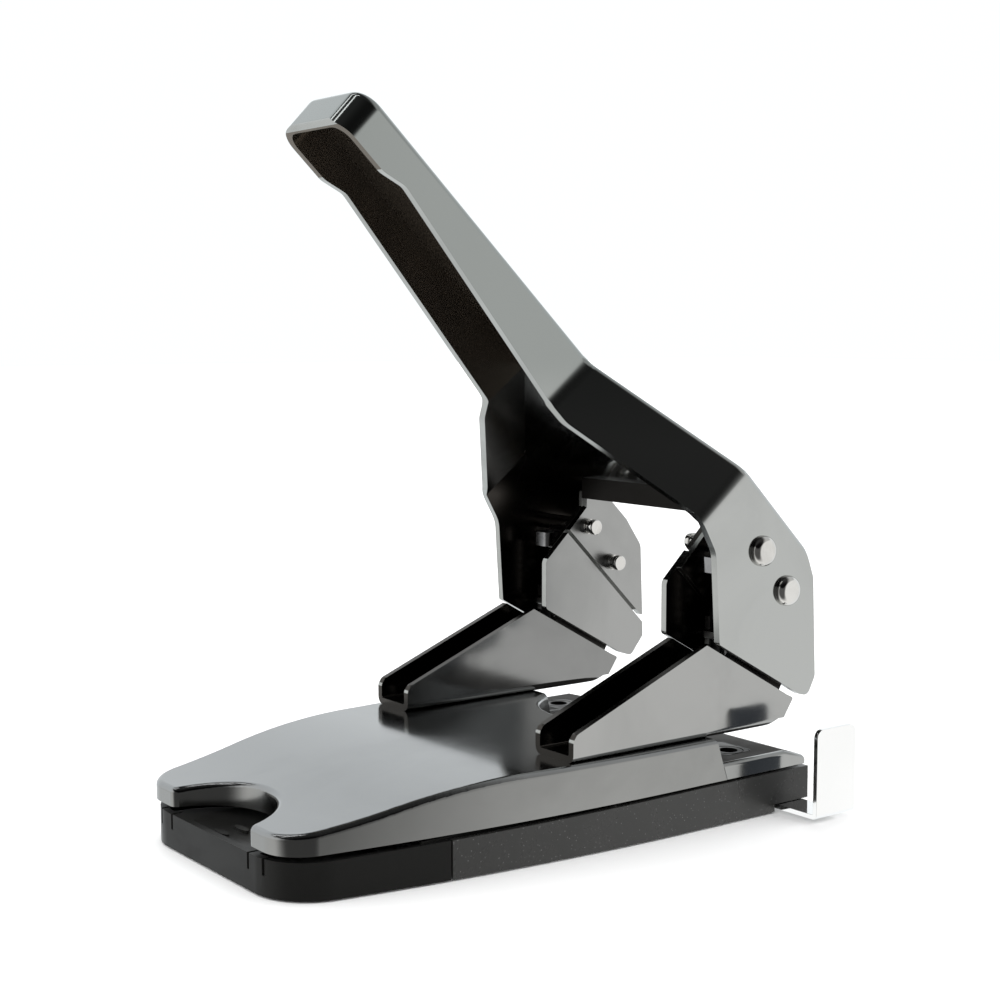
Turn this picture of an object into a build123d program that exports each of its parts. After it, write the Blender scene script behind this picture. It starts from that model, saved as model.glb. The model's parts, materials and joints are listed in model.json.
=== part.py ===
from build123d import *
import os
from math import cos, hypot, pi, sin, sqrt, tan

# Two-hole lever punch. Millimetres, +Z up, +X to the right-hand tower, +Y to the paper side.
# The origin lies on the floor, under the middle of the line between the two holes.

# ---- paper ----
hole_pitch = 80.0           # between the two holes
hole_margin = 12.8          # from the hole line to the paper stop
throat_height = 7.3         # room for the stack of paper
punch_radius = 2.75
running_gap = 0.05          # radial clearance of anything that turns or slides in a hole

# ---- black mouldings ----
foot_stand = 0.5            # how far the rubber feet stand proud
base_side_margin = 11.5     # from a hole's line to the moulding's side
base_front_y = -150.0
base_rear_y = 22.0
base_side_radius = 670.0    # the sides bow in towards the front
base_side_start_y = -20.0
base_front_corner = 17.0
base_rear_corner = 2.0
rim_fall = 2.1              # of the moulding's rim, down to its front
wall_thickness = 2.0
floor_thickness = 2.0
seam_y = -104.25
seam_gap = 0.5
rib_thickness = 1.5
rib_height = 6.0
rib_end_gap = 10.0          # from a rib's ends to the tray's
boss_radius = 2.2
boss_inset = 1.0            # of a boss from the side wall, clear of the steel skirts
boss_y = (-50.0, -9.6)

# ---- chip tray ----
tray_wall = 1.1
tray_side_gap = 0.2
tray_lift = 0.2
tray_floor = 1.5
tray_rear_y = 6.6
tray_headroom = 0.8
shelf_radius = 24.0
shelf_thickness = 2.4
shelf_dish_depth = 1.3
shelf_dish_radius = 17.0
riser_length = 8.0          # of the step between the tray's two floors
tab_slit_x = (21.5, 28.5)
slit_width = 1.0
slit_depth = 4.3
bump_y = (4.0, 9.8)         # of the two bumps, behind the tray's front
bump_length = 7.0
bump_width = 2.2
bump_height = 0.9

# ---- deck and cover ----
deck_height = 18.0
deck_thickness = 2.0
deck_bevel_y = 12.5
deck_bevel_drop = 2.4
deck_rear_y = 20.8
deck_rear_corner = 3.5
deck_front_y = -70.0
deck_side_gap = 0.4
plate_edge_radius = 1.5
cover_thickness = 1.8
cover_inset = 0.3           # of the cover's outline from the moulding's
skirt_depth = 4.9           # from the deck's top down to the steel's lower edge
skirt_gap = 0.8             # black gap over the moulding's wall
skirt_fall = 1.1            # of the cover's lower edge, down to its front
cover_flat_y = -80.0
cover_slope_y = -120.0
cover_slope = 11.3          # degrees, where the S-curve turns
cover_front_slope = 4.5     # degrees, at the front edge
cover_edge_radius = 1.8
cover_end_lean = 2.4        # the paper stop leans back as it goes down
notch_radius = 21.5
notch_centre_y = -154.0
notch_corner = 2.6
cover_front_corner = 12.0
stop_notch_radius = 31.0    # of the notch between the towers, round the middle of the hole line
end_cut_reach = 20.0        # of the cut that lets the end wall stand on the deck
plate_gap = 0.15

# ---- dies ----
insert_inner = 10.0         # from the hole's centre towards the middle of the punch
insert_outer = 4.7
insert_half_length = 5.5
insert_corner = 2.5
insert_gap = 0.2
insert_depth = 4.5
insert_flange = 1.5
die_ring_radius = 4.6
die_ring_width = 0.3
die_ring_depth = 0.3
chip_relief = 0.7

# ---- wedge frames ----
frame_width = 16.6
frame_sheet = 2.0
frame_front_y = -65.8
frame_front_height = 6.2
frame_nose_y = -64.5
frame_nose_height = 8.0
frame_peak_y = -16.9
frame_peak_height = 27.1
slot_end_y = 16.0
slot_end_height = 8.7
frame_tail_y = 18.6
frame_tail_height = 7.5
frame_heel_y = 14.7
frame_step_y = 12.4
frame_heel_height = 2.0
frame_bottom_rear_y = 8.3
frame_bend_radius = 2.4

# ---- pivot and drive pins ----
pivot_y = 11.0
pivot_height = 40.8         # above the cover
drive_back = 10.2           # the drive pin lies this far in front of the pivot
drive_up = 12.4             # and this far above it
pin_radius = 2.5
pin_head_radius = 4.5
pin_head_height = 2.3
pin_dome_radius = 1.95      # of the rounding round the head
pin_tail = 5.5              # past the inner faces of the towers
pin_groove_depth = 0.6
pin_groove_width = 1.4
pin_groove_inset = 1.9
stroke_degrees = 45.0

# ---- punches and their brackets ----
bracket_sheet = 2.0
bracket_front_y = -34.0
ear_radius = 8.6
ear_front_rise = 5.0        # of an ear's front end, over the bracket's floor
ear_waist = (4.0, 6.0)      # in front of the guide plate, and under it
ear_hook = (1.0, 2.0)       # behind the guide plate's front edge, and under it
ear_hook_rise = 4.0         # above the guide plate
ear_neck_drop = 3.0         # under the pivot
ear_rear = (2.4, 8.0)       # behind the end of the slot, and above it
ear_heel = (1.5, 1.0)       # before the end of the slot, and above it
ear_rear_gap = 0.3          # before the wedge frame's lower rear corner
bush_radius = 4.2
bush_spigot_radius = 3.8
bush_height = 6.7
fit_gap = 0.05
guide_plate_front_y = -5.0
guide_plate_rear_y = 7.0
guide_plate_height = 26.1   # above the cover
guide_plate_thickness = 2.2
guide_plate_corner = 3.0
punch_rest_gap = 1.3        # from the paper's ceiling up to the punch's tip
punch_tip_hollow = 0.9
punch_hollow_radius = 6.9   # of the hollow across the cutting end
head_height = 4.5
head_front = 8.2
head_back = 4.3
head_side_gap = 0.3
spring_wire = 0.9
spring_gap = 0.25
spring_turns = 6
spring_end_gap = 0.05
wire_steps = 6              # points taken along each arc of the wire, to measure it
bush_wall = 1.8

# ---- handle ----
sheet = 2.2
cheek_gap = 1.6             # from the wedge frame to the cheek
inner_gap = 0.4             # from the wedge frame to the inner bracket
bracket_layer = 1.9
grip_half_width = 16.0
grip_length = 104.1
grip_tilt = 43.44           # degrees above level
knee = (-44.5, 66.9)        # (y, z) from the pivot, as all the handle's points
shoulder = (-16.4, 36.5)
heel = (7.2, 13.5)
tip_depth = 12.5
tip_corner = 7.0            # where the grip's sides turn into its end
step_start = 18.5
step_end = 26.0
step_depth = 10.2
knee_depth = 19.0
knee_edge_back = 2.8
flare_edge_top = (-57.4, 49.2)
flare_edge_bottom = (-35.0, 24.7)
cheek_front_top = (-28.4, 13.1)
cheek_front_y = -26.7
cheek_past_slot = 1.0       # of the cheek's lower edge, past the end of the slot
cheek_tail = (9.6, -32.3)
cheek_rear_bottom = (12.6, -26.7)
cheek_rear_top = (11.2, 3.0)
flange_front = (-16.8, 11.5)
flange_rise = 7.0
flange_rear_top = (13.5, 4.4)
flange_rear_y = 14.5
bracket_front = (-26.0, 2.7)
bracket_nose_y = -26.5
bracket_tail = (14.7, -26.1)
layer_overlap = 3.5
bend_radius = 2.5            # outside, of the folds along the handle's back
flare_radius = 8.0           # of the folds beside the flare
lip_front = -11.0
lip_bottom = 21.4
slot_gap = 1.1              # between a cheek and its wedge frame, square to the slot
triangle_gap = 1.2          # between the inner flange and the bracket below it

# ---- fasteners and feet ----
frame_screw_y = (-56.0, -24.0)
frame_screw_radius = 2.0
frame_screw_head_radius = 3.8
frame_screw_head = 2.2
screw_overrun = 0.2         # of the frame screws past their nuts
sleeve_radius = 4.4
nut_across = 7.0
nut_height = 2.8
base_screw_radius = 1.2
base_screw_head_radius = 1.9
base_screw_head = 1.4
base_screw_skin = 0.6       # of the deck left over a screw's end
foot_length = 76.0
foot_width = 12.0
foot_thickness = 1.6
pad_radius = 7.0
pad_x = 27.0
pad_y = -126.0

# ---- paper guide ----
guide_front_y = 9.3
guide_width = 10.4
guide_sheet = 1.4
guide_slot_gap = 0.15
guide_lip = 1.2
guide_lip_height = 0.5
guide_end_inset = 3.0       # of its inner end from the moulding's far side
guide_reach = 15.3          # of its fence past the moulding's near side
guide_fence_rear_y = 25.5
guide_fence_top = 27.5
guide_fence_corner = 2.5
guide_bend_radius = 1.6

# ---- what follows from the sizes above ----
tower_x = hole_pitch / 2
base_half_width = tower_x + base_side_margin
cover_top = deck_height + throat_height
pivot_z = cover_top + pivot_height
skirt_bottom = deck_height - skirt_depth
wall_top = skirt_bottom - skirt_gap
front_wall_top = wall_top - rim_fall
frame_inner_x = tower_x - frame_width / 2
frame_outer_x = tower_x + frame_width / 2
cheek_inner_x = frame_outer_x + cheek_gap
cheek_outer_x = cheek_inner_x + sheet
layer_outer_x = frame_inner_x - inner_gap
layer_inner_x = layer_outer_x - bracket_layer
flange_x = layer_inner_x - sheet
bracket_half = frame_width / 2 - frame_sheet
inner_half = bracket_half - bracket_sheet
cover_end_y = -hole_margin - cover_end_lean
bracket_floor = cover_top + frame_sheet
bracket_deck = bracket_floor + bracket_sheet
guide_plate_z = cover_top + guide_plate_height
guide_plate_top = guide_plate_z + guide_plate_thickness
drive_y = pivot_y - drive_back
drive_z = pivot_z + drive_up
head_top = drive_z - pin_radius - running_gap
stroke = drive_up * (1 - cos(stroke_degrees * pi / 180)) + drive_back * sin(stroke_degrees * pi / 180)
floor_top = foot_stand + floor_thickness
guide_z = foot_stand + guide_lip_height + guide_slot_gap
guide_slot_top = guide_z + guide_sheet + guide_slot_gap
guide_inner_x = guide_end_inset - base_half_width
guide_outer_x = base_half_width + guide_reach
frame_screw_end = deck_height - deck_thickness - nut_height - screw_overrun


def bow(y, inset):
    """Half-width of the bowed outline at y, moved inwards by inset."""
    radius = base_side_radius - inset
    reach = max(0.0, base_side_start_y - y)
    return base_half_width - inset - radius + sqrt(radius**2 - reach**2)


def draw_outline(inset, rear_y, rear_corner, front_corner):
    """Draws the plan outline of the base in the sketch in use."""
    front_y = base_front_y + inset
    half = base_half_width - inset
    front_half = bow(front_y, inset)
    middle_y = (base_side_start_y + front_y) / 2
    middle_half = bow(middle_y, inset)
    with BuildLine() as outline:
        Line((-front_half, front_y), (front_half, front_y))
        ThreePointArc((front_half, front_y), (middle_half, middle_y), (half, base_side_start_y))
        Line((half, base_side_start_y), (half, rear_y))
        Line((half, rear_y), (-half, rear_y))
        Line((-half, rear_y), (-half, base_side_start_y))
        ThreePointArc((-half, base_side_start_y), (-middle_half, middle_y), (-front_half, front_y))
    make_face(outline.edges())
    corners = vertices().group_by(Axis.Y)
    fillet(corners[0], radius=front_corner)
    fillet(corners[-1], radius=rear_corner)


def draw_polygon(points, radii=0.0):
    """Draws a closed outline, with one radius or a list of them, in the sketch in use."""
    with BuildLine() as outline:
        FilletPolyline(*points, radius=radii, close=True)
    make_face(outline.edges())


def mirrored(piece):
    """The left-hand twin of a right-hand piece."""
    with BuildPart() as twin:
        mirror(piece, about=Plane.YZ)
    return twin.part


# ---- rear moulding ----
wall_height = wall_top - foot_stand
channel_front_y = guide_front_y - guide_slot_gap
channel_rear_y = guide_front_y + guide_width + guide_slot_gap
raised_floor = guide_slot_top + floor_thickness
tray_half = bow(seam_y, wall_thickness) - tray_side_gap
boss_x = base_half_width - wall_thickness - boss_radius - boss_inset
boss_height = deck_height - deck_thickness - foot_stand

with BuildPart() as base_frame:
    with BuildSketch(Plane.XY.offset(foot_stand)):
        draw_outline(0, base_rear_y, base_rear_corner, base_front_corner)
    extrude(amount=wall_height)
    with BuildSketch(Plane.XY.offset(floor_top)):
        draw_outline(wall_thickness, base_rear_y - wall_thickness, base_rear_corner / 2,
                     base_front_corner - wall_thickness)
    extrude(amount=wall_height, mode=Mode.SUBTRACT)
    # raised floor over the paper guide's channel
    with BuildSketch(Plane.XY.offset(foot_stand)):
        with Locations((0, (channel_front_y - floor_thickness + base_rear_y - wall_thickness) / 2)):
            Rectangle(2 * base_half_width - wall_thickness,
                      base_rear_y - wall_thickness - channel_front_y + floor_thickness)
    extrude(amount=raised_floor - foot_stand)
    # ribs that lead the tray
    with BuildSketch(Plane.XY.offset(foot_stand)):
        for side in (-1, 1):
            with Locations((side * (tray_half + tray_side_gap + rib_thickness / 2), (seam_y + tray_rear_y) / 2)):
                Rectangle(rib_thickness, tray_rear_y - seam_y - 2 * rib_end_gap)
    extrude(amount=floor_thickness + rib_height)
    with BuildSketch(Plane.XY.offset(foot_stand)):
        for side in (-1, 1):
            for y in boss_y:
                with Locations((side * boss_x, y)):
                    Circle(boss_radius)
    extrude(amount=boss_height)
    # the guide's channel: a wide slot over a narrower mouth
    slot_left = guide_inner_x - guide_slot_gap
    with BuildSketch(Plane.XY.offset(guide_z - guide_slot_gap)):
        with Locations(((slot_left + 2 * base_half_width) / 2, (channel_front_y + channel_rear_y) / 2)):
            Rectangle(2 * base_half_width - slot_left, channel_rear_y - channel_front_y)
    extrude(amount=guide_slot_top - guide_z + guide_slot_gap, mode=Mode.SUBTRACT)
    with BuildSketch(Plane.XY):
        with Locations(((slot_left + 2 * base_half_width) / 2, (channel_front_y + channel_rear_y) / 2)):
            Rectangle(2 * base_half_width - slot_left, channel_rear_y - channel_front_y - 2 * guide_lip)
    extrude(amount=guide_z, mode=Mode.SUBTRACT)
    # the moulding is cut away where the guide comes out
    with BuildSketch(Plane.XY):
        with Locations((base_half_width, (channel_front_y + base_rear_y) / 2)):
            Rectangle(4 * guide_lip, base_rear_y - channel_front_y + wall_thickness)
    extrude(amount=guide_slot_top, mode=Mode.SUBTRACT)
    # recess for the rubber foot
    with BuildSketch(Plane.XY):
        Rectangle(foot_length + 2 * fit_gap, foot_width + 2 * fit_gap)
    extrude(amount=foot_thickness, mode=Mode.SUBTRACT)
    # screw holes, with room for the heads
    with BuildSketch(Plane.XY):
        for side in (-1, 1):
            for y in boss_y:
                with Locations((side * boss_x, y)):
                    Circle(base_screw_radius + fit_gap)
    extrude(amount=deck_height, mode=Mode.SUBTRACT)
    with BuildSketch(Plane.XY):
        for side in (-1, 1):
            for y in boss_y:
                with Locations((side * boss_x, y)):
                    Circle(base_screw_head_radius + fit_gap)
    extrude(amount=foot_stand + base_screw_head + fit_gap, mode=Mode.SUBTRACT)
    split(bisect_by=Plane((0, seam_y + seam_gap / 2, 0), z_dir=(0, 1, 0)), keep=Keep.TOP)
    rim_cut = [(base_side_start_y, wall_top), (base_front_y, front_wall_top), (base_front_y, deck_height),
               (base_side_start_y, deck_height)]
    with BuildSketch(Plane.YZ.offset(-base_half_width)):
        draw_polygon(rim_cut)
    extrude(amount=2 * base_half_width, mode=Mode.SUBTRACT)

# ---- chip tray: front moulding and drawer ----
tray_bottom = floor_top + tray_lift
tray_top = wall_top - tray_headroom
dish_sphere = (shelf_dish_radius**2 + shelf_dish_depth**2) / (2 * shelf_dish_depth)
shelf_centre_y = base_front_y + wall_thickness / 2
dish_centre_y = base_front_y + shelf_dish_radius * 3 / 4

with BuildPart() as front_shell:
    with BuildSketch(Plane.XY.offset(foot_stand)):
        draw_outline(0, base_rear_y, base_rear_corner, base_front_corner)
    extrude(amount=wall_height)
    with BuildSketch(Plane.XY.offset(floor_top)):
        draw_outline(wall_thickness, base_rear_y, base_rear_corner, base_front_corner - wall_thickness)
    extrude(amount=wall_height, mode=Mode.SUBTRACT)
    split(bisect_by=Plane((0, seam_y - seam_gap / 2, 0), z_dir=(0, 1, 0)), keep=Keep.BOTTOM)
    with BuildSketch(Plane.YZ.offset(-base_half_width)):
        draw_polygon(rim_cut)
    extrude(amount=2 * base_half_width, mode=Mode.SUBTRACT)

with BuildPart() as shelf:
    with BuildSketch(Plane.XY.offset(front_wall_top - shelf_thickness)):
        with Locations((0, shelf_centre_y)):
            Circle(shelf_radius)
        with Locations((0, shelf_centre_y - shelf_radius)):
            Rectangle(3 * shelf_radius, 2 * shelf_radius, mode=Mode.SUBTRACT)
    extrude(amount=shelf_thickness)
    with Locations((0, dish_centre_y, front_wall_top - shelf_dish_depth + dish_sphere)):
        Sphere(dish_sphere, mode=Mode.SUBTRACT)
    with BuildSketch(Plane.XY.offset(front_wall_top - shelf_thickness)):
        for y in bump_y:
            with Locations((0, base_front_y + y)):
                Ellipse(bump_length / 2, bump_width / 2)
    extrude(amount=shelf_thickness - shelf_dish_depth + bump_height)

with BuildPart() as chip_tray:
    add(front_shell.part)
    add(shelf.part)
    # drawer, from the front moulding back under the dies
    with BuildSketch(Plane.XY.offset(tray_bottom)):
        with Locations((0, (seam_y - riser_length + tray_rear_y) / 2)):
            Rectangle(2 * tray_half, tray_rear_y - seam_y + riser_length)
    extrude(amount=tray_top - tray_bottom)
    with BuildSketch(Plane.XY.offset(tray_bottom + tray_floor)):
        with Locations((0, (seam_y - 2 * riser_length + tray_rear_y - tray_wall) / 2)):
            Rectangle(2 * (tray_half - tray_wall), tray_rear_y - tray_wall - seam_y + 2 * riser_length)
    extrude(amount=tray_top, mode=Mode.SUBTRACT)
    # riser that joins the two floors
    with BuildSketch(Plane.XY.offset(foot_stand)):
        with Locations((0, seam_y - seam_gap / 2 - riser_length / 2)):
            Rectangle(2 * tray_half, riser_length)
    extrude(amount=tray_bottom + tray_floor - foot_stand)
    # two slits beside each snap tab
    with BuildSketch(Plane.XY.offset(front_wall_top - slit_depth)):
        for side in (-1, 1):
            for x in tab_slit_x:
                with Locations((side * x, base_front_y + wall_thickness / 2)):
                    Rectangle(slit_width, 2 * wall_thickness)
    extrude(amount=2 * slit_depth, mode=Mode.SUBTRACT)
    # recesses for the rubber pads
    with BuildSketch(Plane.XY):
        with Locations((-pad_x, pad_y), (pad_x, pad_y)):
            Circle(pad_radius + fit_gap)
    extrude(amount=foot_thickness, mode=Mode.SUBTRACT)

# ---- cover ----
slope_drop = (cover_flat_y - cover_slope_y) * (1 - cos(cover_slope * pi / 180)) / sin(cover_slope * pi / 180)
front_run = cover_slope_y - base_front_y - cover_inset
front_drop = front_run * tan((cover_slope + cover_front_slope) * pi / 360)


def draw_cover_side(drop, end_y, bottom):
    """Side outline of the cover, lowered by drop and ending at end_y."""
    top = cover_top - drop
    front_y = base_front_y + cover_inset
    slope_z = top - slope_drop
    past_z = slope_z - front_drop - throat_height * tan(cover_front_slope * pi / 180)
    with BuildLine() as outline:
        Line((end_y, top), (cover_flat_y, top))
        TangentArc((cover_flat_y, top), (cover_slope_y, slope_z), tangent=(-1, 0))
        slope_down = (-cos(cover_slope * pi / 180), -sin(cover_slope * pi / 180))
        TangentArc((cover_slope_y, slope_z), (front_y, slope_z - front_drop), tangent=slope_down)
        Line((front_y, slope_z - front_drop), (front_y - throat_height, past_z))
        Line((front_y - throat_height, past_z), (front_y - throat_height, bottom - skirt_fall))
        Line((front_y - throat_height, bottom - skirt_fall), (base_side_start_y, bottom))
        Line((base_side_start_y, bottom), (end_y, bottom))
        Line((end_y, bottom), (end_y, top))
    make_face(outline.edges())


def cover_block(inset, growth, drop, end_y, bottom):
    """Solid between the cover's plan, notch and side outlines."""
    with BuildPart() as block:
        with BuildSketch(Plane.XY.offset(bottom - skirt_fall)):
            draw_outline(inset, base_rear_y, base_rear_corner, cover_front_corner - inset)
        extrude(amount=cover_top)
        with BuildSketch(Plane.XY.offset(bottom - skirt_fall)):
            with Locations((0, notch_centre_y)):
                Circle(notch_radius + growth)
            Circle(stop_notch_radius + growth)
        extrude(amount=cover_top, mode=Mode.SUBTRACT)
        mouth = block.edges().filter_by(Axis.Z).filter_by(
            lambda e: abs(e.center().X) < notch_radius + growth and e.center().Y < base_front_y + inset + plate_gap)
        fillet(mouth, radius=notch_corner - growth)
        with BuildSketch(Plane.YZ.offset(-base_half_width)):
            draw_cover_side(drop, end_y, bottom)
        extrude(amount=2 * base_half_width, mode=Mode.INTERSECT)
    return block.part


def crosses(edge):
    """Whether an edge of the cover's top runs straight across it, from side to side."""
    level = edge.geom_type == GeomType.LINE and abs((edge @ 0).Y - (edge @ 1).Y) < plate_gap
    return level and edge.length > base_half_width and edge.center().Y > cover_slope_y - notch_corner


cover_inner = cover_block(cover_inset + cover_thickness, cover_thickness, cover_thickness,
                          cover_end_y - cover_thickness, skirt_bottom - cover_thickness)
end_cut_length = end_cut_reach - cover_end_y
stop_plane = Plane((0, cover_end_y, cover_top), z_dir=(0, throat_height, cover_end_lean))

with BuildPart() as cover_plate:
    add(cover_block(cover_inset, 0, 0, 0, skirt_bottom))
    tops = cover_plate.faces().filter_by(lambda f: f.normal_at().Z > 0.5)
    rim = tops.edges().filter_by(lambda e: e.center().Y < cover_end_y / 2 and not crosses(e))
    fillet(rim, radius=cover_edge_radius)
    split(bisect_by=stop_plane, keep=Keep.BOTTOM)
    add(cover_inner, mode=Mode.SUBTRACT)
    # the end wall stands on the deck, between the skirts
    with BuildSketch(Plane.XY):
        with Locations((0, cover_end_y - end_cut_reach)):
            Rectangle(2 * (base_half_width - cover_inset - cover_thickness), end_cut_length,
                      align=(Align.CENTER, Align.MIN))
    extrude(amount=deck_height, mode=Mode.SUBTRACT)
    # holes for the frame screws
    with BuildSketch(Plane.XY):
        for side in (-1, 1):
            for y in frame_screw_y:
                with Locations((side * tower_x, y)):
                    Circle(frame_screw_radius + fit_gap)
    extrude(amount=cover_top, mode=Mode.SUBTRACT)

# ---- deck ----
deck_inner_half = base_half_width - cover_inset - cover_thickness - deck_side_gap


def deck_block(inset, drop, rear_inset):
    """Solid under the deck's top, its rear bevel and its rounded rear corners."""
    with BuildPart() as block:
        with BuildSketch(Plane.XY.offset(skirt_bottom)):
            draw_outline(inset, deck_rear_y - rear_inset, deck_rear_corner - rear_inset, cover_front_corner)
        extrude(amount=deck_height - drop - skirt_bottom)
        with BuildSketch(Plane.YZ.offset(-base_half_width)):
            draw_polygon([
                (base_front_y, deck_height - drop),
                (deck_bevel_y - rear_inset / 2, deck_height - drop),
                (deck_rear_y - rear_inset, deck_height - drop - deck_bevel_drop),
                (deck_rear_y - rear_inset, skirt_bottom),
                (base_front_y, skirt_bottom),
            ])
        extrude(amount=2 * base_half_width, mode=Mode.INTERSECT)
    return block.part


with BuildPart() as die_plate:
    add(deck_block(cover_inset, 0, 0))
    tops = die_plate.faces().filter_by(lambda f: f.normal_at().Z > 0.5)
    rim = tops.edges().filter_by(lambda e: e.center().Y > base_side_start_y - deck_thickness and not (
        abs((e @ 0).Y - (e @ 1).Y) < plate_gap and e.center().Y < deck_bevel_y + plate_edge_radius))
    fillet(rim, radius=plate_edge_radius)
    add(deck_block(cover_inset + deck_thickness, deck_thickness, deck_thickness), mode=Mode.SUBTRACT)
    split(bisect_by=Plane((0, cover_end_y + plate_gap, cover_top), z_dir=(0, throat_height, cover_end_lean)),
          keep=Keep.TOP)
    # the part that lies under the cover
    with BuildSketch(Plane.XY.offset(deck_height - deck_thickness)):
        draw_outline(cover_inset + cover_thickness + deck_side_gap, 0, base_rear_corner, base_front_corner)
        with Locations((0, deck_front_y)):
            Rectangle(2 * base_half_width, -2 * base_front_y, align=(Align.CENTER, Align.MAX), mode=Mode.SUBTRACT)
    extrude(amount=deck_thickness)
    # windows for the dies
    with BuildSketch(Plane.XY.offset(deck_height - deck_thickness)):
        for side in (-1, 1):
            with Locations((side * (tower_x + (insert_outer - insert_inner) / 2), 0)):
                RectangleRounded(insert_inner + insert_outer + 2 * insert_gap,
                                 2 * (insert_half_length + insert_gap), insert_corner + insert_gap)
    extrude(amount=deck_thickness, mode=Mode.SUBTRACT)
    with BuildSketch(Plane.XY):
        for side in (-1, 1):
            for y in frame_screw_y:
                with Locations((side * tower_x, y)):
                    Circle(frame_screw_radius + fit_gap)
    extrude(amount=deck_height, mode=Mode.SUBTRACT)
    with BuildSketch(Plane.XY):
        for side in (-1, 1):
            for y in boss_y:
                with Locations((side * boss_x, y)):
                    Circle(base_screw_radius + fit_gap)
    extrude(amount=deck_height - base_screw_skin, mode=Mode.SUBTRACT)

# ---- dies ----
insert_centre = tower_x + (insert_outer - insert_inner) / 2
insert_length = insert_inner + insert_outer

with BuildPart() as die_insert:
    with BuildSketch(Plane.XY.offset(deck_height - insert_depth)):
        with Locations((insert_centre, 0)):
            RectangleRounded(insert_length, 2 * insert_half_length, insert_corner)
    extrude(amount=insert_depth)
    with BuildSketch(Plane.XY.offset(deck_height - insert_depth)):
        with Locations((insert_centre, 0)):
            RectangleRounded(insert_length + 2 * insert_flange,
                             2 * (insert_half_length + insert_flange), insert_corner)
    extrude(amount=insert_depth - deck_thickness)
    with BuildSketch(Plane.XY.offset(deck_height - insert_depth)):
        with Locations((tower_x, 0)):
            Circle(punch_radius + running_gap)
    extrude(amount=insert_depth, mode=Mode.SUBTRACT)
    with BuildSketch(Plane.XY.offset(deck_height - insert_depth)):
        with Locations((tower_x, 0)):
            Circle(punch_radius + chip_relief)
    extrude(amount=insert_depth - deck_thickness, mode=Mode.SUBTRACT)
    with BuildSketch(Plane.XY.offset(deck_height - die_ring_depth)):
        with Locations((tower_x, 0)):
            Circle(die_ring_radius)
            Circle(die_ring_radius - die_ring_width, mode=Mode.SUBTRACT)
    extrude(amount=die_ring_depth, mode=Mode.SUBTRACT)

# ---- wedge frames ----
peak_z = cover_top + frame_peak_height
slot_end_z = cover_top + slot_end_height
frame_side = [
    (frame_front_y, cover_top),
    (frame_front_y, cover_top + frame_front_height),
    (frame_nose_y, cover_top + frame_nose_height),
    (frame_peak_y, peak_z),
    (slot_end_y, slot_end_z),
    (frame_tail_y, cover_top + frame_tail_height),
    (frame_heel_y, cover_top + frame_heel_height),
    (frame_step_y, cover_top + frame_heel_height),
    (frame_bottom_rear_y, cover_top),
]
frame_rounding = [0, 1.5, 1.5, 0.6, 1.0, 0.6, 0, 0, 0]

with BuildPart() as wedge_frame:
    with BuildSketch(Plane.YZ.offset(frame_inner_x)):
        draw_polygon(frame_side, frame_rounding)
    extrude(amount=frame_width)
    bends = wedge_frame.edges().filter_by(Axis.Y).filter_by(lambda e: e.center().Z < cover_top + fit_gap)
    fillet(bends, radius=frame_bend_radius)
    with BuildSketch(Plane.XZ.offset(-2 * frame_tail_y)):
        with Locations((tower_x, bracket_floor + pivot_height / 2)):
            RectangleRounded(2 * bracket_half, pivot_height, frame_bend_radius / 4)
    extrude(amount=2 * frame_tail_y - frame_front_y + frame_sheet, mode=Mode.SUBTRACT)
    with BuildSketch(Plane.XY.offset(cover_top)):
        for y in frame_screw_y:
            with Locations((tower_x, y)):
                Circle(frame_screw_radius + fit_gap)
        with Locations((tower_x, 0)):
            Circle(bush_spigot_radius + fit_gap)
    extrude(amount=frame_sheet, mode=Mode.SUBTRACT)

# ---- inner brackets that carry the pivots ----
ear_side = [
    (bracket_front_y, bracket_floor),
    (bracket_front_y, bracket_floor + ear_front_rise),
    (guide_plate_front_y - ear_waist[0], guide_plate_z - ear_waist[1]),
    (guide_plate_front_y + ear_hook[0], guide_plate_z - ear_hook[1]),
    (guide_plate_front_y + ear_hook[0], guide_plate_top + ear_hook_rise),
    (pivot_y - ear_radius, pivot_z - ear_neck_drop),
    (pivot_y, pivot_z),
    (pivot_y + ear_radius, pivot_z),
    (slot_end_y + ear_rear[0], slot_end_z + ear_rear[1]),
    (slot_end_y - ear_heel[0], slot_end_z + ear_heel[1]),
    (frame_bottom_rear_y - ear_rear_gap, bracket_floor),
]

with BuildPart() as punch_bracket:
    with BuildSketch(Plane.YZ.offset(tower_x - bracket_half)):
        draw_polygon(ear_side)
        with Locations((pivot_y, pivot_z)):
            Circle(ear_radius)
    extrude(amount=2 * bracket_half)
    bends = punch_bracket.edges().filter_by(Axis.Y).filter_by(lambda e: e.center().Z < bracket_floor + fit_gap)
    fillet(bends, radius=frame_bend_radius / 2)
    with BuildSketch(Plane.XZ.offset(-2 * frame_tail_y)):
        with Locations((tower_x, bracket_deck + pivot_height)):
            Rectangle(2 * inner_half, 2 * pivot_height)
    extrude(amount=2 * frame_tail_y - frame_front_y, mode=Mode.SUBTRACT)
    with BuildSketch(Plane.YZ.offset(frame_inner_x)):
        with Locations((pivot_y, pivot_z)):
            Circle(pin_radius + running_gap)
        # notch that holds the guide plate
        with Locations(((guide_plate_front_y + guide_plate_rear_y) / 2, guide_plate_z + guide_plate_thickness / 2)):
            Rectangle(guide_plate_rear_y - guide_plate_front_y, guide_plate_thickness)
    extrude(amount=frame_width, mode=Mode.SUBTRACT)
    with BuildSketch(Plane.XY.offset(bracket_floor)):
        with Locations((tower_x, 0)):
            Circle(bush_spigot_radius + fit_gap)
        with Locations((tower_x, frame_screw_y[1])):
            Circle(frame_screw_radius + fit_gap)
    extrude(amount=bracket_sheet, mode=Mode.SUBTRACT)

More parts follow.
